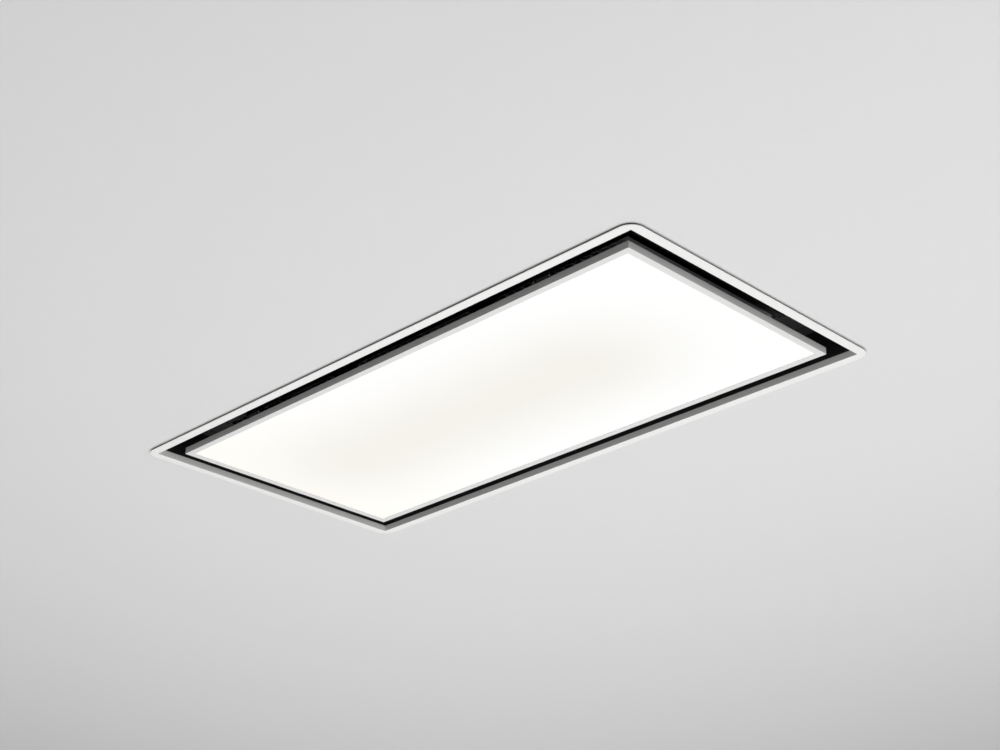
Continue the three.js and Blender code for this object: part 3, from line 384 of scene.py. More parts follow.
# The stage: a ceiling with a cut-out for the hood, and a floor.
stageSettings = {
    "ceilingGrey": 0.72,
    "floorGrey": 0.72,
    "floorSeen": 0.80,  # grey that the camera and reflections meet, as that of the air
    "roughness": 0.9,
    "shine": 0.1,
    "halfSize": 5.5,
    "floorDepth": -2.8,
    "cutOutHalf": (0.490, 0.240),
}


def paleSurface(name, grey, settings, seenGrey=None, oneSided=False):
    # Plain pale paint. A seen grey hides its shading, and a one-sided sheet can't be seen from its back.
    finish, tree, paint = startFinish(name, Base_Color=(grey,) * 3, Roughness=settings["roughness"],
                                      Specular_IOR_Level=settings["shine"])
    shader = paint.outputs[0]
    if seenGrey:
        glow = addNode(tree, "ShaderNodeEmission", Color=(seenGrey,) * 3)
        shader = mixShaders(tree, seenBy(tree, "Glossy"), shader, glow.outputs[0])
    if oneSided:
        back = addNode(tree, "ShaderNodeNewGeometry").outputs["Backfacing"]
        clear = addNode(tree, "ShaderNodeBsdfTransparent")
        shader = mixShaders(tree, back, shader, clear.outputs[0])
    tree.links.new(shader, tree.nodes["Material Output"].inputs["Surface"])
    return finish


def buildStage(settings):
    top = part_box("ceiling_gasket")[1][2]
    half = settings["halfSize"]
    ceiling = flatRing("stageCeiling", (half, half), settings["cutOutHalf"], top)
    faceDown(ceiling, top)
    ceiling.data.materials.append(
        paleSurface("ceilingPaint", settings["ceilingGrey"], settings, oneSided=True))
    ceiling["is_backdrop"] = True
    floor = startPlane("stageFloor", half, half, settings["floorDepth"])
    floor.data.materials.append(
        paleSurface("floorPaint", settings["floorGrey"], settings, settings["floorSeen"]))
    floor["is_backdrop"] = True


buildStage(stageSettings)
print("stage built")


# Shader groups that several finishes share. Their sizes are in mm.
def newGroup(name, inputs, outputs):
    # An empty group of numbers, with the sockets inside it that give and take them.
    group = bpy.data.node_groups.new(name, "ShaderNodeTree")
    kind = "NodeSocketFloat"
    for label, value in inputs.items():
        socket = group.interface.new_socket(name=label, in_out="INPUT", socket_type=kind)
        socket.default_value = value
    for label in outputs:
        group.interface.new_socket(name=label, in_out="OUTPUT", socket_type=kind)
    given = group.nodes.new("NodeGroupInput").outputs
    result = group.nodes.new("NodeGroupOutput").inputs
    return group, given, result


def perMetre(tree, size):
    # The scale of a texture whose pattern has this size in mm.
    return mathNode(tree, "DIVIDE", 1 / mm, size)


def giveMask(group, given, result, first, second):
    # Two masks together, scaled by the group's amount.
    mask = mathNode(group, "MULTIPLY", first, second)
    group.links.new(mathNode(group, "MULTIPLY", mask, given["Amount"], clamp=True), result["Mask"])


def coatGrain():
    # Orange peel of a sprayed coat: a fine height and a slow tone.
    group, given, result = newGroup("coatGrain", {"Size": 0.8, "Patch": 90.0}, ("Height", "Tone"))
    place = objectPlace(group)
    peel = noiseNode(group, place, perMetre(group, given["Size"]), detail=2.0)
    patch = noiseNode(group, place, perMetre(group, given["Patch"]), detail=3.0, roughness=0.55)
    group.links.new(peel["Fac"], result["Height"])
    group.links.new(patch["Fac"], result["Tone"])
    return group


def rolledGrain():
    # Fine lines of rolled or drawn metal, stretched along X, and slow smudges.
    group, given, result = newGroup("rolledGrain", {"Length": 40.0, "Width": 0.5}, ("Lines", "Smudge"))
    place = objectPlace(group)
    along, across = (perMetre(group, given[label]) for label in ("Length", "Width"))
    size = addNode(group, "ShaderNodeCombineXYZ", X=along, Y=across, Z=across)
    stretched = vectorNode(group, "MULTIPLY", place, size.outputs[0])
    lines = noiseNode(group, stretched, scale=1.0, detail=3.0, roughness=0.6)
    smudge = noiseNode(group, place, scale=14.0, detail=4.0, roughness=0.6)
    group.links.new(lines["Fac"], result["Lines"])
    group.links.new(smudge["Fac"], result["Smudge"])
    return group


spangleSettings = {
    "warpScale": 260.0,
    "warp": 0.0022,  # how far the outlines of the flakes wander, in metres
    "finer": 2.7,  # how many times smaller the second layer's flakes are
    "finerShare": 0.35,
}


def zincSpangle(settings):
    # Crystal flakes of a galvanised sheet in two sizes, each flake with its own tone.
    group, given, result = newGroup("zincSpangle", {"Flake": 9.0}, ("Tone", "Seam"))
    place = objectPlace(group)
    warp = noiseNode(group, place, settings["warpScale"], detail=1.0)
    shifted = addNode(group, "ShaderNodeMixRGB", blend_type="ADD", Fac=settings["warp"],
                      Color1=place, Color2=warp["Color"])
    coarse = perMetre(group, given["Flake"])
    tones = []
    for scale in (coarse, mathNode(group, "MULTIPLY", coarse, settings["finer"])):
        flakes = addNode(group, "ShaderNodeTexVoronoi", feature="F1", Vector=shifted.outputs[0],
                         Scale=scale)
        grey = addNode(group, "ShaderNodeSeparateColor", Color=flakes.outputs["Color"])
        tones.append(grey.outputs[0])
    group.links.new(flakes.outputs["Distance"], result["Seam"])
    mixed = addNode(group, "ShaderNodeMix")
    for index, value in ((0, settings["finerShare"]), (2, tones[0]), (3, tones[1])):
        feed(group, value, mixed.inputs[index])
    group.links.new(mixed.outputs[0], result["Tone"])
    return group


edgeSettings = {
    "samples": 4,
    "agreement": (0.99, 0.80),  # of the rounded and the true normal, where the wear begins and is full
    "breakScale": 240.0,
    "breaks": (0.42, 0.62),  # values of the noise between which the wear is broken up
    "least": 0.15,
}


def rubbedEdge(settings):
    # 1 along outer edges and corners, 0 on flat faces, broken up by noise.
    group, given, result = newGroup("rubbedEdge", {"Reach": 0.8, "Amount": 0.5}, ("Mask",))
    reach = mathNode(group, "MULTIPLY", given["Reach"], mm)
    rounded = addNode(group, "ShaderNodeBevel", samples=settings["samples"], Radius=reach)
    flat = addNode(group, "ShaderNodeNewGeometry").outputs["True Normal"]
    agreement = vectorNode(group, "DOT_PRODUCT", rounded.outputs[0], flat)
    edge = rangeNode(group, agreement, *settings["agreement"], 0.0, 1.0)
    breaks = noiseNode(group, objectPlace(group), settings["breakScale"], detail=3.0)
    worn = rangeNode(group, breaks["Fac"], *settings["breaks"], settings["least"], 1.0)
    giveMask(group, given, result, edge, worn)
    return group


dustSettings = {
    "upward": (0.5, 0.95),  # how much a face looks up where the dust begins and is full
    "driftScale": 16.0,
    "drift": (0.38, 0.68),  # values of the noise between which the dust is patchy
    "least": 0.1,
}


def settledDust(settings):
    # Dust that settles on faces that look up.
    group, given, result = newGroup("settledDust", {"Amount": 0.3}, ("Mask",))
    facing = addNode(group, "ShaderNodeNewGeometry").outputs["Normal"]
    parts = addNode(group, "ShaderNodeSeparateXYZ", Vector=facing)
    upward = rangeNode(group, parts.outputs["Z"], *settings["upward"], 0.0, 1.0)
    drift = noiseNode(group, objectPlace(group), settings["driftScale"], detail=6.0, roughness=0.65)
    patch = rangeNode(group, drift["Fac"], *settings["drift"], settings["least"], 1.0)
    giveMask(group, given, result, upward, patch)
    return group


grainGroup = coatGrain()
rolledGroup = rolledGrain()
spangleGroup = zincSpangle(spangleSettings)
edgeGroup = rubbedEdge(edgeSettings)
dustGroup = settledDust(dustSettings)


# Finishes.
noiseRange = (0.3, 0.7)  # where most values of a noise lie
wearSettings = {
    # amount and reach in mm of the wear along edges, colour of the dust
    "coat": (0.35, 0.6, (0.45, 0.44, 0.42)),
    "metal": (0.5, 0.5, (0.42, 0.41, 0.40)),
    "galvanised": (0.4, 0.8, (0.40, 0.39, 0.37)),
    "moulded": (0.45, 0.7, (0.38, 0.37, 0.35)),
}


def placeGroup(tree, group, **values):
    return addNode(tree, "ShaderNodeGroup", node_tree=group, **values).outputs


def blendColours(tree, mask, first, second):
    node = addNode(tree, "ShaderNodeMix", data_type="RGBA")
    for index, value in ((0, mask), (6, first), (7, second)):
        feed(tree, value, node.inputs[index])
    return node.outputs[2]


def colourFrom(tree, surface, kind, tone, rubbed, dust):
    # The finish's own tone, rubbed along its edges and under its dust.
    amount, reach, dustColour = wearSettings[kind]
    edge = placeGroup(tree, edgeGroup, Amount=amount, Reach=reach)
    drift = placeGroup(tree, dustGroup, Amount=dust)
    worn = blendColours(tree, edge["Mask"], tone, rubbed)
    tree.links.new(blendColours(tree, drift["Mask"], worn, dustColour), surface.inputs["Base Color"])


def roughFrom(tree, surface, source, smooth, rough, limits=noiseRange):
    tree.links.new(rangeNode(tree, source, *limits, smooth, rough), surface.inputs["Roughness"])


def bumpFrom(tree, surface, height, depth, strength=1.0):
    bump = addNode(tree, "ShaderNodeBump", Strength=strength, Distance=depth * mm, Height=height)
    tree.links.new(bump.outputs[0], surface.inputs["Normal"])


coatFinishes = {
    # colour, darker colour, rubbed colour, roughness low and high, peel size, peel depth, dust
    "lipWhite": ((0.820, 0.820, 0.805), (0.790, 0.790, 0.775), (0.86, 0.86, 0.85),
                 0.34, 0.44, 1.1, 0.02, 0.05),
    # The panel rim is the lip's white, darkened as painted shade.
    "rimWhitePaintedShade": ((0.710, 0.710, 0.700), (0.680, 0.680, 0.670), (0.77, 0.77, 0.76),
                 0.34, 0.44, 1.1, 0.02, 0.05),
    # Near-black for the parts in and above the slot: partly their own black paint, partly painted shade for
    # the deep slot.
    "slotBlackWithPaintedShade": ((0.010, 0.010, 0.0105), (0.006, 0.006, 0.0065), (0.10, 0.10, 0.10),
                  0.42, 0.60, 0.9, 0.03, 0.02),
    # The catch magnets are near-black: partly their own dark paint, partly painted shade so that they
    # vanish in the slot.
    "catchBlackWithPaintedShade": ((0.028, 0.028, 0.031), (0.018, 0.018, 0.02), (0.12, 0.12, 0.12),
                  0.45, 0.6, 1.2, 0.03, 0.05),
}
coatShine = 0.45


def coatFinish(name):
    colour, darker, rubbed, smooth, rough, size, depth, dust = coatFinishes[name]
    finish, tree, surface = startFinish(name, Specular_IOR_Level=coatShine)
    grain = placeGroup(tree, grainGroup, Size=size)
    tone = blendColours(tree, grain["Tone"], darker, colour)
    colourFrom(tree, surface, "coat", tone, rubbed, dust)
    roughFrom(tree, surface, grain["Tone"], smooth, rough)
    bumpFrom(tree, surface, grain["Height"], depth)
    return finish


metalFinishes = {
    # light colour, dark colour, rubbed colour, roughness low and high, line length, width and depth, dust
    # The filters' aluminium is near-black as painted shade, so that their ends, seen in the slot, read as
    # its shade.
    "filterBlackPaintedShade": ((0.050, 0.050, 0.053), (0.028, 0.028, 0.030), (0.30, 0.30, 0.31),
                      0.30, 0.44, 45.0, 0.5, 0.010, 0.03),
    "meshAluminium": ((0.72, 0.73, 0.75), (0.50, 0.51, 0.52), (0.80, 0.81, 0.83),
                      0.28, 0.48, 6.0, 0.6, 0.020, 0.05),
    "brightSteel": ((0.68, 0.68, 0.69), (0.52, 0.52, 0.54), (0.75, 0.75, 0.76),
                    0.18, 0.34, 30.0, 0.3, 0.006, 0.04),
    "zincPlate": ((0.58, 0.60, 0.62), (0.48, 0.50, 0.53), (0.72, 0.74, 0.77),
                  0.44, 0.56, 24.0, 2.4, 0.003, 0.08),
}


def metalFinish(name):
    light, dark, rubbed, smooth, rough, length, width, depth, dust = metalFinishes[name]
    finish, tree, surface = startFinish(name, Metallic=1.0)
    grain = placeGroup(tree, rolledGroup, Length=length, Width=width)
    tone = blendColours(tree, grain["Smudge"], dark, light)
    colourFrom(tree, surface, "metal", tone, rubbed, dust)
    roughFrom(tree, surface, grain["Lines"], smooth, rough)
    bumpFrom(tree, surface, grain["Lines"], depth)
    return finish


galvanisedSettings = {
    "flake": 11.0,  # mm
    "light": (0.62, 0.64, 0.66),
    "dark": (0.40, 0.42, 0.45),
    "rubbed": (0.82, 0.83, 0.85),
    "veilFrom": (0.35, 0.75),  # smudge values between which a pale veil covers the flakes
    "veil": 0.5,
    "smooth": 0.50,
    "rough": 0.66,
    "dust": 0.22,
    "seamDepth": 0.006,
    "seamStrength": 0.3,
}


def galvanisedFinish(settings):
    finish, tree, surface = startFinish("galvanisedSheet", Metallic=1.0)
    flakes = placeGroup(tree, spangleGroup, Flake=settings["flake"])
    smudge = placeGroup(tree, rolledGroup)["Smudge"]
    tone = blendColours(tree, flakes["Tone"], settings["dark"], settings["light"])
    veil = rangeNode(tree, smudge, *settings["veilFrom"], 0.0, settings["veil"])
    soft = blendColours(tree, veil, tone, settings["light"])
    colourFrom(tree, surface, "galvanised", soft, settings["rubbed"], settings["dust"])
    roughFrom(tree, surface, flakes["Tone"], settings["smooth"], settings["rough"], (0.0, 1.0))
    bumpFrom(tree, surface, flakes["Seam"], settings["seamDepth"], settings["seamStrength"])
    return finish


mouldedFinishes = {
    # colour, lighter colour, roughness low and high, grain size, grain depth, dust
    "latchGrey": ((0.105, 0.11, 0.115), (0.14, 0.145, 0.15), 0.42, 0.58, 0.5, 0.05, 0.05),
    "ductBlack": ((0.016, 0.016, 0.018), (0.032, 0.032, 0.034), 0.36, 0.55, 0.45, 0.05, 0.12),
    "leadRubber": ((0.018, 0.018, 0.019), (0.036, 0.036, 0.038), 0.60, 0.80, 0.7, 0.04, 0.20),
    "stripFoam": ((0.030, 0.030, 0.032), (0.070, 0.070, 0.073), 0.88, 0.98, 0.9, 0.25, 0.0),
    "boardGreen": ((0.020, 0.105, 0.040), (0.035, 0.16, 0.065), 0.30, 0.45, 1.6, 0.05, 0.05),
    "casePale": ((0.74, 0.74, 0.71), (0.82, 0.82, 0.80), 0.38, 0.52, 0.6, 0.04, 0.10),
}
mouldedShine = 0.4
mouldedPatch = 40.0  # mm
edgeGain, edgeLift = 1.7, 0.01  # make the lighter colour that of rubbed edges


def mouldedFinish(name):
    colour, lighter, smooth, rough, size, depth, dust = mouldedFinishes[name]
    rubbed = tuple(min(1.0, edgeGain * part + edgeLift) for part in lighter)
    finish, tree, surface = startFinish(name, Specular_IOR_Level=mouldedShine)
    grain = placeGroup(tree, grainGroup, Size=size, Patch=mouldedPatch)
    tone = blendColours(tree, grain["Tone"], colour, lighter)
    colourFrom(tree, surface, "moulded", tone, rubbed, dust)
    roughFrom(tree, surface, grain["Tone"], smooth, rough)
    bumpFrom(tree, surface, grain["Height"], depth)
    return finish


diffuserSettings = {
    "edgeColour": (1.0, 1.0, 0.995),
    "middleColour": (0.888, 0.869, 0.800),
    "creamColour": (1.0, 0.975, 0.905),
    "middleX": -0.045,  # centre of the dimmer patch, along the panel
    "straightHalf": 0.223,  # half of the patch's straight part
    "endReach": 0.258,  # from there to where it has faded out
    "sideReach": 0.205,
    "creamFrom": -0.13,  # x where the warm tint of one end begins
    "creamTo": -0.43,
    "creamLeast": 0.5,  # share of the tint that its mottling leaves
    "mottleScale": 5.0,
    "glow": 0.893,
    "shine": 0.25,
    "unlit": ((0.05, 0.05, 0.05), (0.07, 0.07, 0.07)),
    "smooth": 0.5,
    "rough": 0.65,
    "grainSize": 0.4,
    "grainDepth": 0.01,
}


def opalFinish(settings):
    # Lit from the long sides: brightest there, with a slightly dimmer, warmer patch along the middle.
    finish, tree, surface = startFinish("opalLit", Specular_IOR_Level=settings["shine"],
                                        Emission_Strength=settings["glow"])
    place = objectPlace(tree)
    parts = addNode(tree, "ShaderNodeSeparateXYZ", Vector=place).outputs
    along = mathNode(tree, "SUBTRACT", parts["X"], settings["middleX"])
    along = mathNode(tree, "SUBTRACT", mathNode(tree, "ABSOLUTE", along), settings["straightHalf"])
    along = mathNode(tree, "DIVIDE", mathNode(tree, "MAXIMUM", along, 0.0), settings["endReach"])
    across = mathNode(tree, "DIVIDE", parts["Y"], settings["sideReach"])
    reach = addNode(tree, "ShaderNodeCombineXYZ", X=along, Y=across)
    fade = addNode(tree, "ShaderNodeMapRange", interpolation_type="SMOOTHSTEP", To_Min=1.0, To_Max=0.0,
                   Value=vectorNode(tree, "LENGTH", reach.outputs[0]))
    warmth = rangeNode(tree, parts["X"], settings["creamFrom"], settings["creamTo"], 0.0, 1.0)
    mottle = noiseNode(tree, place, settings["mottleScale"], detail=2.0)
    mottle = rangeNode(tree, mottle["Fac"], *noiseRange, settings["creamLeast"], 1.0)
    ends = blendColours(tree, mathNode(tree, "MULTIPLY", warmth, mottle),
                        settings["edgeColour"], settings["creamColour"])
    lit = blendColours(tree, fade.outputs["Result"], ends, settings["middleColour"])
    tree.links.new(lit, surface.inputs["Emission Color"])
    grain = placeGroup(tree, grainGroup, Size=settings["grainSize"])
    tree.links.new(blendColours(tree, grain["Tone"], *settings["unlit"]), surface.inputs["Base Color"])
    roughFrom(tree, surface, grain["Height"], settings["smooth"], settings["rough"])
    bumpFrom(tree, surface, grain["Height"], settings["grainDepth"])
    return finish


guideSettings = {
    "ior": 1.49,
    "colours": ((0.90, 0.94, 0.95), (0.96, 0.98, 0.98)),
    "smooth": 0.04,
    "rough": 0.12,
}


def guideFinish(settings):
    finish, tree, surface = startFinish("clearGuide", Transmission_Weight=1.0, IOR=settings["ior"])
    tone = placeGroup(tree, grainGroup)["Tone"]
    tree.links.new(blendColours(tree, tone, *settings["colours"]), surface.inputs["Base Color"])
    roughFrom(tree, surface, tone, settings["smooth"], settings["rough"])
    return finish


finishOf = {
    "white_paint": coatFinish("lipWhite"),
    # The black paint is partly painted shade for the slot.
    "black_paint": coatFinish("slotBlackWithPaintedShade"),
    "magnet_grey": coatFinish("catchBlackWithPaintedShade"),
    # The filters' near-black is painted shade.
    "aluminium": metalFinish("filterBlackPaintedShade"),
    "filter_mesh": metalFinish("meshAluminium"),
    "steel": metalFinish("brightSteel"),
    "zinc_plate": metalFinish("zincPlate"),
    "galvanised": galvanisedFinish(galvanisedSettings),
    "grey_plastic": mouldedFinish("latchGrey"),
    "black_plastic": mouldedFinish("ductBlack"),
    "rubber": mouldedFinish("leadRubber"),
    "foam": mouldedFinish("stripFoam"),
    "board_green": mouldedFinish("boardGreen"),
    "board_white": mouldedFinish("casePale"),
    "opal": opalFinish(diffuserSettings),
    "acrylic": guideFinish(guideSettings),
}
slotOf = {row["node"]: row["material_slot"] for row in frame["record"]["subparts"]}
bodyOf = {node: body for body, nodes in frame["record"]["behaviour"]["bodies"].items() for node in nodes}
for node, slot in slotOf.items():
    holder = frame["nodes"][node]
    holder.data.materials.clear()
    holder.data.materials.append(finishOf[slot])
print("finishes made:", len(finishOf))


def dressAs(piece, node):
    # Dresses a piece that stands for one CAD node.
    slot = slotOf[node]
    dress(piece, finishOf[slot], bodyOf[node], slot, node)


# Lip, foam strip and panel trim.
lipSettings = {
    "sheet": 1.4 * mm,
    "width": 14.3 * mm,
    "cornerRadius": 21 * mm,
    "arcSteps": 14,
    "edge": 0.45 * mm,
}


def buildLip(settings):
    low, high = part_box("ceiling_frame")
    inner = (high[0] - settings["width"], high[1] - settings["width"])
    lip = flatRing("lipTrim", (high[0], high[1]), inner, low[2], settings["cornerRadius"],
                   settings["arcSteps"])
    enterEdit(lip, "EDGE")
    pickEdges(lip, lambda edge, *ends: all(
        abs(end.x) < inner[0] + mm and abs(end.y) < inner[1] + mm for end in ends))
    extrudeBy((0, 0, high[2] - low[2]))
    leaveEdit()
    faceDown(lip, low[2])
    addModifier(lip, "SOLIDIFY", thickness=settings["sheet"], offset=-1, use_even_offset=True)
    softenEdges(lip, settings["edge"])
    smoothPiece(lip)
    dressAs(lip, "ceiling_frame")


foamSettings = {
    "cornerRadius": 19.5 * mm,
    "arcSteps": 14,
    "gap": 0.6 * mm,  # between the strip and the housing
    "edge": 0.5 * mm,
}


def buildFoamStrip(settings):
    low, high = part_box("ceiling_gasket")
    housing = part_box("housing_wrap")[1]
    inner = (housing[0] + settings["gap"], housing[1] + settings["gap"])
    strip = flatRing("foamStrip", (high[0], high[1]), inner, low[2], settings["cornerRadius"],
                     settings["arcSteps"])
    faceDown(strip, low[2])
    addModifier(strip, "SOLIDIFY", thickness=high[2] - low[2], offset=-1)
    softenEdges(strip, settings["edge"])
    smoothPiece(strip)
    dressAs(strip, "ceiling_gasket")


panelSettings = {
    "sheet": 1.0 * mm,
    "rimWidth": 10.5 * mm,
    "fold": 11.5 * mm,
    "edge": 0.45 * mm,
    # the rim's white is darkened as painted shade
    "finish": "rimWhitePaintedShade",
}


def buildPanelTrim(settings):
    low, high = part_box("panel_frame")
    halfX, halfY = high[0], high[1]
    trim = startPlane("panelTrim", halfX, halfY, low[2])
    enterEdit(trim, "FACE", "SELECT")
    bpy.ops.mesh.inset(thickness=settings["rimWidth"])
    bpy.ops.mesh.delete(type="ONLY_FACE")
    leaveEdit()
    enterEdit(trim, "EDGE")
    pickEdges(trim, lambda edge, *ends: edge.is_boundary and all(
        abs(end.x) > halfX - mm and abs(end.y) > halfY - mm for end in ends))
    extrudeBy((0, 0, high[2] - low[2]))
    extrudeBy((0, 0, 0))
    shrink = ((halfX - settings["fold"]) / halfX, (halfY - settings["fold"]) / halfY, 1)
    bpy.ops.transform.resize(value=shrink, center_override=(0, 0, high[2]))
    leaveEdit()
    faceDown(trim, low[2])
    addModifier(trim, "SOLIDIFY", thickness=settings["sheet"], offset=-1, use_even_offset=True)
    softenEdges(trim, settings["edge"])
    smoothPiece(trim)
    dress(trim, coatFinish(settings["finish"]), bodyOf["panel_frame"], slotOf["panel_frame"], "panel_frame")


buildLip(lipSettings)
buildFoamStrip(foamSettings)
buildPanelTrim(panelSettings)
print("lip, foam strip and panel trim built")


# Duct collar.
collarSettings = {
    "segments": 96,
    "smoothAngle": 40,
    "flangeSheet": 2.0 * mm,
    "flangeCorner": 10 * mm,
    "flangeSteps": 8,
    "flangeEdge": 0.5 * mm,
    "holeRadius": 74 * mm,
    "drillDepth": 20 * mm,
    # distance along the duct and radius, both in mm, once round the wall
    "profile": [
        (0, 73), (16, 73), (16, 69), (17.5, 69), (17.5, 73), (49.2, 73), (49.8, 73.4), (50, 74),
        (49.8, 74.6), (49.2, 75), (44, 75), (43.4, 76.1), (42.5, 76.5), (41.6, 76.1), (41, 75),
        (4.4, 75), (3.0, 75.4), (2.3, 76.1), (1.9, 77.2), (0, 77.2),
    ],
}
tilts = {"X": (0, math.pi / 2, 0), "Y": (math.pi / 2, 0, 0), "Z": (0, 0, 0)}


def turnRing(name, centre, axis, profile, settings):
    # A turned ring: a circle carried round its profile of places along the axis and radii, both in mm.
    centre = Vector(centre)
    way = Vector((axis == "X", axis == "Y", axis == "Z"))
    place, radius = profile[0]
    deselectAll()
    bpy.ops.mesh.primitive_circle_add(vertices=settings["segments"], radius=radius * mm,
                                      location=centre + place * mm * way, rotation=tilts[axis])
    ring = bpy.context.object
    ring.name = name
    applyPlace(ring)
    enterEdit(ring, "EDGE", "SELECT")
    for nextPlace, nextRadius in profile[1:]:
        extrudeBy((nextPlace - place) * mm * way)
        grow = nextRadius / radius
        bpy.ops.transform.resize(value=[1 if part else grow for part in way], center_override=centre)
        place, radius = nextPlace, nextRadius
    bpy.ops.mesh.select_all(action="DESELECT")
    bpy.ops.mesh.select_non_manifold()
    bpy.ops.mesh.bridge_edge_loops()
    bpy.ops.mesh.select_all(action="SELECT")
    bpy.ops.mesh.normals_make_consistent(inside=False)
    leaveEdit()
    smoothPiece(ring, settings["smoothAngle"])
    return ring


def buildDuctCollar(settings):
    low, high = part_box("outlet_collar")
    centre = Vector((low[0], (low[1] + high[1]) / 2, (low[2] + high[2]) / 2))
    dressAs(turnRing("ductCollar", centre, "X", settings["profile"], settings), "outlet_collar")
    plate = startBox("ductFlange", low, (low[0] + settings["flangeSheet"], high[1], high[2]))
    enterEdit(plate, "EDGE")
    pickEdges(plate, lambda edge, *ends: abs(ends[0].x - ends[1].x) > mm)
    bpy.ops.mesh.bevel(offset=settings["flangeCorner"], segments=settings["flangeSteps"], affect="EDGES")
    leaveEdit()
    bpy.ops.mesh.primitive_cylinder_add(vertices=settings["segments"], radius=settings["holeRadius"],
                                        depth=settings["drillDepth"], location=centre, rotation=tilts["X"])
    cutAway(plate, bpy.context.object)
    softenEdges(plate, settings["flangeEdge"])
    smoothPiece(plate)
    dressAs(plate, "outlet_collar")


buildDuctCollar(collarSettings)
print("duct collar built")


# Leads. Their routes and radii are in mm and repeat those of the CAD part; the rest is in metres.
leadSettings = {
    "motor": {
        "name": "motorCable", "node": "motor_lead", "radius": 4.0, "length": 0.0851,
        "route": [(x, -30, z) for x, z in (
            (-176, 156.3), (-164, 156.3), (-159.17, 155.69), (-154.33, 154.05), (-149.5, 151.8),
            (-144.67, 149.55), (-139.83, 147.9), (-135, 147.3), (-130.17, 147.9), (-125.33, 149.55),
            (-120.5, 151.8), (-115.67, 154.05), (-110.83, 155.69), (-106, 156.3), (-94, 156.3))],
    },
    "panel": {
        "name": "panelCable", "node": "panel_lead", "radius": 3.0, "length": 0.2225,
        "route": [(-250, y, z) for y, z in (
            (-80, 140.3), (-80, 119.98), (-89, 102.78), (-100, 96.59), (-116, 92.46), (-139.6, 90.4),
            (-155.2, 89.71), (-171.2, 86.96), (-191.2, 78.7), (-199.2, 67.69), (-199.2, 53.5),
            (-197.2, 41.5), (-181.25, 32), (-173.3, 30), (-165.3, 30))],
        "bendFrom": (-0.250, -0.190, 0.061),
        "bendTo": (-0.250, -0.190, 0.031),
    },
}


def smoothRoute(points, stepsPerPoint=8):
    # Centripetal Catmull-Rom curve through the points, in metres.
    places = [Vector(point) * mm for point in points]
    places = [2 * places[0] - places[1]] + places + [2 * places[-1] - places[-2]]
    route = []
    for i in range(1, len(places) - 2):
        a, b, c, d = places[i - 1:i + 3]
        knots = [0.0]
        for start, end in ((a, b), (b, c), (c, d)):
            knots.append(knots[-1] + (end - start).length ** 0.5)
        for step in range(stepsPerPoint):
            t = knots[1] + (knots[2] - knots[1]) * step / stepsPerPoint
            ab = a.lerp(b, (t - knots[0]) / (knots[1] - knots[0]))
            bc = b.lerp(c, (t - knots[1]) / (knots[2] - knots[1]))
            cd = c.lerp(d, (t - knots[2]) / (knots[3] - knots[2]))
            abc = ab.lerp(bc, (t - knots[0]) / (knots[2] - knots[0]))
            bcd = bc.lerp(cd, (t - knots[1]) / (knots[3] - knots[1]))
            route.append(abc.lerp(bcd, (t - knots[1]) / (knots[2] - knots[1])))
    return route + [places[-2]]


cordShape = {"roundSteps": 5, "mergeWithin": 0.01 * mm, "smoothAngle": 50}


def buildLead(settings, shape):
    route = smoothRoute(settings["route"])
    line = bpy.data.curves.new(settings["name"], "CURVE")
    line.dimensions = "3D"
    line.bevel_depth = settings["radius"] * mm
    line.bevel_resolution = shape["roundSteps"]
    line.use_fill_caps = True
    spline = line.splines.new("POLY")
    spline.points.add(len(route) - 1)
    for point, place in zip(spline.points, route):
        point.co = (*place, 1)
    cable = bpy.data.objects.new(settings["name"], line)
    bpy.context.scene.collection.objects.link(cable)
    makeActive(cable)
    bpy.ops.object.convert(target="MESH")
    cable = bpy.context.object
    mergeDoubles(cable, shape["mergeWithin"])
    smoothPiece(cable, shape["smoothAngle"])
    if "bendFrom" in settings:
        cable.data.materials.append(finishOf["rubber"])
        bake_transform(cable)
        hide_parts(settings["node"])
    else:
        dressAs(cable, settings["node"])


grommetSettings = {
    "segments": 32,
    "smoothAngle": 40,
    # half of the profile, in mm: distance from the middle of the sheet, and radius beyond that of the lead
    "side": [(0.9, 0.75), (0.9, 2.1), (1.3, 2.6), (2.1, 2.5), (2.9, 1.7), (3.2, 0.65), (2.9, 0.15)],
    # centre in metres, axis and the radius of the lead in mm
    "places": {
        "grommetDeck": ((-0.250, -0.1992, 0.0609), "Z", 3.0),
        "grommetControl": ((-0.1706, -0.030, 0.1563), "X", 4.0),
        "grommetBlower": ((-0.0995, -0.030, 0.1563), "X", 4.0),
    },
}


def buildGrommets(settings):
    # Rubber rings with a groove for the sheet's edge, where the leads pass through it.
    for name, (centre, axis, leadRadius) in settings["places"].items():
        side = [(place, leadRadius + beyond) for place, beyond in settings["side"]]
        profile = side + [(-place, radius) for place, radius in reversed(side)]
        dress(turnRing(name, centre, axis, profile, settings), finishOf["rubber"], "housing", "rubber")


for row in leadSettings.values():
    buildLead(row, cordShape)
buildGrommets(grommetSettings)
print("leads and grommets built")


# Expanded mesh of the grease filters.
latticeSettings = {
    "strand": 0.8 * mm,
    "cell": 9.5 * mm,  # along the folds
    "folds": 34,
    "sheet": 1.2 * mm,  # thickness of the pleated core
    "border": 9.1 * mm,  # from the core's ends to those of the mesh
    "under": 0.25 * mm,  # centre of the strands below the core
}


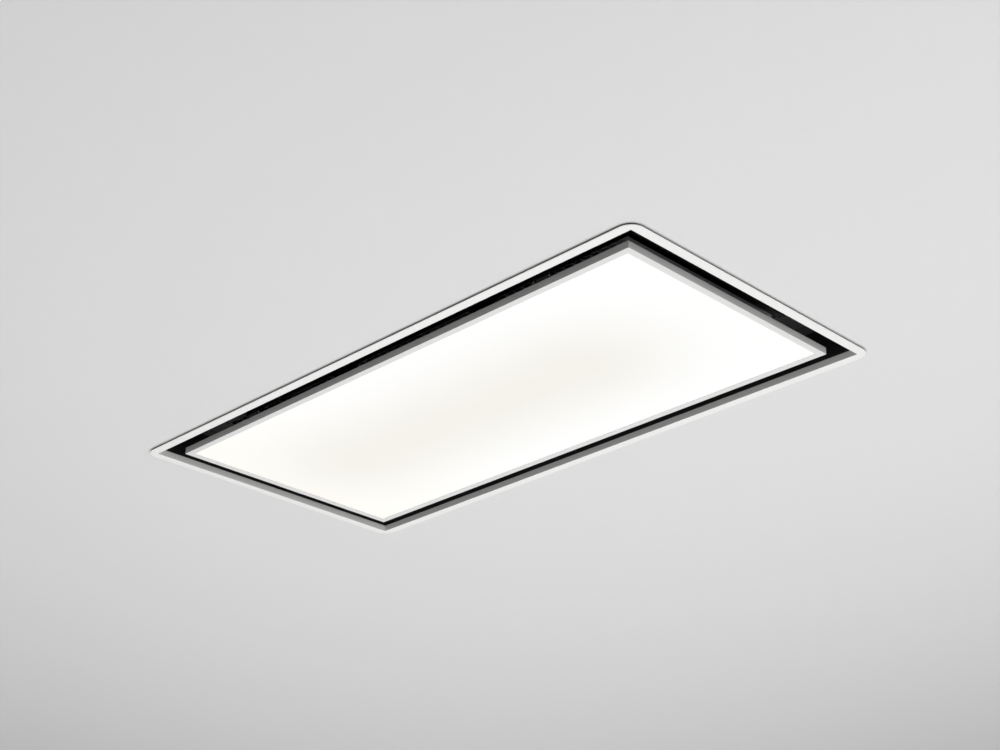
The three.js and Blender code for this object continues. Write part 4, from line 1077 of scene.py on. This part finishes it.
def buildLattice(index, settings):
    # Expanded sheet: lozenges that follow the folds of the core.
    low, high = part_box(f"filter_mesh_{index}")
    fold = (high[0] - low[0]) / settings["folds"]
    crest = high[2] - low[2] - settings["sheet"]
    columns = settings["folds"] - 2
    centreX = (low[0] + high[0]) / 2
    firstX = centreX - columns / 2 * fold
    width = 2 * (high[1] - settings["border"])
    rows = round(width / settings["cell"])
    deselectAll()
    bpy.ops.mesh.primitive_grid_add(x_subdivisions=columns, y_subdivisions=rows, size=1,
                                    location=(centreX, 0, low[2] - settings["under"]))
    lattice = bpy.context.object
    lattice.name = f"filterLattice_{index}"
    lattice.scale = (columns * fold, width, 1)
    applyPlace(lattice)
    enterEdit(lattice, "VERT", "SELECT")
    bpy.ops.mesh.poke()
    mesh = bmesh.from_edit_mesh(lattice.data)
    for corner in mesh.verts:
        column = (corner.co.x - firstX) / fold
        atLine = abs(column - round(column)) < 0.1
        corner.co.z += crest * ((round(column) + 1) % 2 if atLine else 0.5)
    bmesh.update_edit_mesh(lattice.data)
    bpy.ops.mesh.select_mode(type="EDGE")
    bpy.ops.mesh.select_all(action="DESELECT")
    pickEdges(lattice, lambda edge, a, b: not edge.is_boundary and (
        abs(a.y - b.y) < near or abs(a.x - b.x) < near))
    bpy.ops.mesh.dissolve_edges(use_verts=False)
    leaveEdit()
    addModifier(lattice, "WIREFRAME", thickness=settings["strand"], offset=0, use_even_offset=False,
                use_boundary=True, use_replace=True)
    dress(lattice, finishOf["filter_mesh"], f"grease_filter_{index}", "filter_mesh")


filters = (1, 2, 3)
for index in filters:
    buildLattice(index, latticeSettings)
print("filter lattices built")


# Rounded copies of the sheet-metal and moulded pieces.
sides = ("left", "right")
softPieces = [
    # CAD node, its copy, width of its rounded edges in mm, steps round them, its sides or numbers
    ("housing_wrap", "housingShell", 0.4, 2, ()),
    ("housing_end", "endPanel", 0.4, 2, sides),
    ("channel_skirt", "slotWall", 0.4, 2, ("front", "back", *sides)),
    ("filter_deck", "filterDeckPlate", 0.3, 1, ()),
    ("filter_frame", "filterBorder", 0.4, 2, filters),
    ("filter_latch", "latchSlide", 0.3, 2, filters),
    ("panel_back_tray", "panelLid", 0.5, 2, ()),
    ("lead_socket", "cableSocket", 0.8, 2, ()),
    ("hinge_leaf", "hingeLeaf", 0.4, 1, sides),
    ("hinge_bracket", "hingeArm", 0.4, 2, sides),
    ("hinge_pin", "hingePin", 0.3, 2, sides),
    ("catch_magnet", "catchArm", 0.5, 2, sides),
    ("catch_keeper", "keeperPlate", 0.3, 2, sides),
    ("motor_box", "blowerBox", 0.5, 2, ()),
    ("control_box", "electricBox", 0.4, 2, ()),
    ("control_box_lid", "electricBoxLid", 0.4, 2, ()),
    ("hanger_bracket", "hanger", 0.5, 1, (1, 2, 3, 4)),
    ("cable_gland", "entryGland", 0.4, 2, ()),
    ("inlet_cover", "bellmouthPlate", 0.0, 0, ()),
    ("scroll_housing", "scrollShell", 0.0, 0, ()),
    ("impeller", "fanWheel", 0.0, 0, ()),
    ("motor", "motorCan", 0.0, 0, ()),
    ("motor_plate", "motorMount", 0.0, 0, ()),
    ("flap_spindle", "flapRod", 0.0, 0, ()),
    ("flap", "flap", 0.0, 0, sides),
]
cadGap = 0.001 * mm  # corners of CAD faces closer than this are one


def namesFor(node, name, ends):
    # Names of the nodes and of their copies, as one piece or as one for each side or number.
    if not ends:
        return [(node, name)]
    return [(f"{node}_{end}", name + (end.title() if isinstance(end, str) else f"_{end}")) for end in ends]


def buildSoftPiece(node, name, width, steps):
    source = frame["nodes"][node]
    piece = ownCopy(source)
    piece.parent = None
    piece.matrix_world = source.matrix_world
    piece.name = name
    applyPlace(piece)
    mergeDoubles(piece, cadGap)
    if steps:
        softenEdges(piece, width * mm, steps, "MITER_SHARP")
    smoothPiece(piece)
    dressAs(piece, node)


softCount = 0
for stem, copyStem, width, steps, ends in softPieces:
    for node, name in namesFor(stem, copyStem, ends):
        buildSoftPiece(node, name, width, steps)
        softCount += 1
print("rounded copies built:", softCount)


# Screws and rivets.
headSettings = {
    # sizes in mm
    "pan": {"radius": 3.8, "height": 2.2, "recess": 2.1, "slot": 0.7, "depth": 1.3},
    "small": {"radius": 2.3, "height": 1.4, "recess": 1.3, "slot": 0.45, "depth": 0.8},
    "rivet": {"radius": 2.6, "height": 1.1},
}
headSteps = {"segments": 24, "rings": 16, "smoothAngle": 40}
sink = 0.4 * mm  # how far a head goes into the sheet under it


def makeHead(kind):
    # A domed head along +Z, its rim at z = 0, with a cross recess if it is a screw's.
    sizes = headSettings[kind]
    radius, height = sizes["radius"] * mm, sizes["height"] * mm
    deselectAll()
    bpy.ops.mesh.primitive_uv_sphere_add(segments=headSteps["segments"], ring_count=headSteps["rings"],
                                         radius=radius)
    head = bpy.context.object
    head.name = f"{kind}HeadMould"
    head.scale = (1, 1, height / radius)
    applyPlace(head)
    enterEdit(head, "VERT", "SELECT")
    bpy.ops.mesh.bisect(plane_co=(0, 0, 0), plane_no=(0, 0, 1), clear_inner=True, use_fill=False)
    bpy.ops.mesh.select_all(action="DESELECT")
    bpy.ops.mesh.select_non_manifold()
    extrudeBy((0, 0, -sink))
    bpy.ops.mesh.edge_face_add()
    bpy.ops.mesh.select_all(action="SELECT")
    bpy.ops.mesh.normals_make_consistent(inside=False)
    leaveEdit()
    if "recess" in sizes:
        reach, half, depth = (sizes[key] * mm for key in ("recess", "slot", "depth"))
        for halfX, halfY in ((reach, half), (half, reach)):
            low, high = (-halfX, -halfY, height - depth), (halfX, halfY, height + mm)
            cutAway(head, startBox("crossCutter", low, high))
    smoothPiece(head, headSteps["smoothAngle"])
    return head


facings = {
    # angle and axis of the turn from +Z
    "+Z": (0, "X"),
    "-Z": (math.pi, "X"),
    "+X": (math.pi / 2, "Y"),
    "+Y": (-math.pi / 2, "X"),
    "-Y": (math.pi / 2, "X"),
}


def headRow(name, kind, body, slot, facing, level, places):
    # Copies of one head on a face, joined into a single piece.
    copies = []
    for place in places:
        copy = ownCopy(heads[kind])
        spot = list(place)
        spot.insert("XYZ".index(facing[1]), level)
        copy.location = Vector(spot) * mm
        angle, axis = facings[facing]
        turn = Matrix.Rotation(angle, 4, axis) @ Matrix.Rotation(dice.uniform(0, math.pi), 4, "Z")
        copy.rotation_euler = turn.to_euler()
        copies.append(copy)
    deselectAll()
    for copy in copies:
        copy.select_set(True)
    bpy.context.view_layer.objects.active = copies[0]
    bpy.ops.object.transform_apply(location=True, rotation=True, scale=True)
    bpy.ops.object.join()
    row = bpy.context.view_layer.objects.active
    row.name = name
    dress(row, finishOf[slot], body, slot)


def both(*values):
    # Each value with both signs.
    return [sign * value for value in values for sign in (-1, 1)]


def twins(middle, half):
    # Two places round the middle, and two round its opposite.
    return [place + step for place in both(middle) for step in both(half)]


def topOf(node):
    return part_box(node)[1][2] / mm


heads = {kind: makeHead(kind) for kind in headSettings}
roof = 130.0  # mm, top of the housing
ductY, ductZ = 88.89, 215.15  # mm, middle of the duct
headRows = [
    # name, head, body, slot, way it faces, level in mm of the face it stands on, its places on that face
    ("blowerBoxScrews", "pan", "housing", "zinc_plate", "+Z", roof + 1.3,
     [(x, y) for x in (-106, 306) for y in both(60, 180)]
     + [(x, y) for y in both(206) for x in (-60, 20, 100, 180, 260)]),
    ("roofScrews", "pan", "housing", "zinc_plate", "+Z", roof,
     [(x, y) for x in both(481) for y in both(50, 150)]),
    ("sideScrewsFront", "pan", "housing", "zinc_plate", "+Y", 238.2,
     [(x, z) for x in both(481) for z in (80, 116)]),
    ("sideScrewsBack", "pan", "housing", "zinc_plate", "-Y", -238.2,
     [(x, z) for x in both(481) for z in (80, 116)]),
    ("lidScrews", "small", "housing", "zinc_plate", "+Z", topOf("control_box_lid"),
     [(x, y) for x in (-433, -177) for y in (-93, 73)]),
    ("collarRivets", "rivet", "housing", "steel", "+X", 302.3,
     [(ductY + y, ductZ + z) for y in both(71) for z in both(71)]),
    ("hangerScrews", "pan", "housing", "zinc_plate", "+Z", roof + 2.8,
     [(x, y) for x in both(449.2) for y in twins(214.2, 9)]),
    ("hingeFootScrews", "small", "housing", "zinc_plate", "+Y", -233.4, [(x, 47) for x in twins(300, 13)]),
    ("catchFootScrews", "small", "housing", "zinc_plate", "-Y", 233.4, [(x, 48) for x in twins(300, 9)]),
    # The deck screws are black as painted shade, so that they vanish in the slot's shade.
    ("deckScrewsLong", "small", "housing", "black_paint", "-Z", 59,
     [(x, y) for y in both(227) for x in (-440, -220, 0, 220, 440)]),
    ("deckScrewsShort", "small", "housing", "black_paint", "-Z", 59,
     [(x, y) for x in both(477) for y in (-150, 0, 150)]),
    ("lidRimScrewsLong", "small", "light_panel", "steel", "+Z", 11.7,
     [(x, y) for y in both(192) for x in (-400, -200, -100, 0, 100, 200, 400)]),
    ("lidRimScrewsShort", "small", "light_panel", "steel", "+Z", 11.7,
     [(x, y) for x in both(442) for y in (-120, 0, 120)]),
    ("leafScrews", "small", "light_panel", "black_paint", "+Z", 14, [(x, -186.4) for x in twins(300, 4.6)]),
    ("keeperRivets", "rivet", "light_panel", "steel", "+Z", 13.5, [(x, 192) for x in twins(300, 12)]),
]
for index in filters:
    low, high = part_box(f"filter_mesh_{index}")
    middle = (low[0] + high[0]) / 2 / mm
    headRows.append((f"filterRivets_{index}", "rivet", f"grease_filter_{index}", "aluminium", "-Z", 55,
                     [(middle + x, y) for x in both(127) for y in both(159.5)]))
for row in headRows:
    headRow(*row)
for head in heads.values():
    bpy.data.objects.remove(head)
print("screws and rivets placed:", len(headRows), "rows")


low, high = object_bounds()
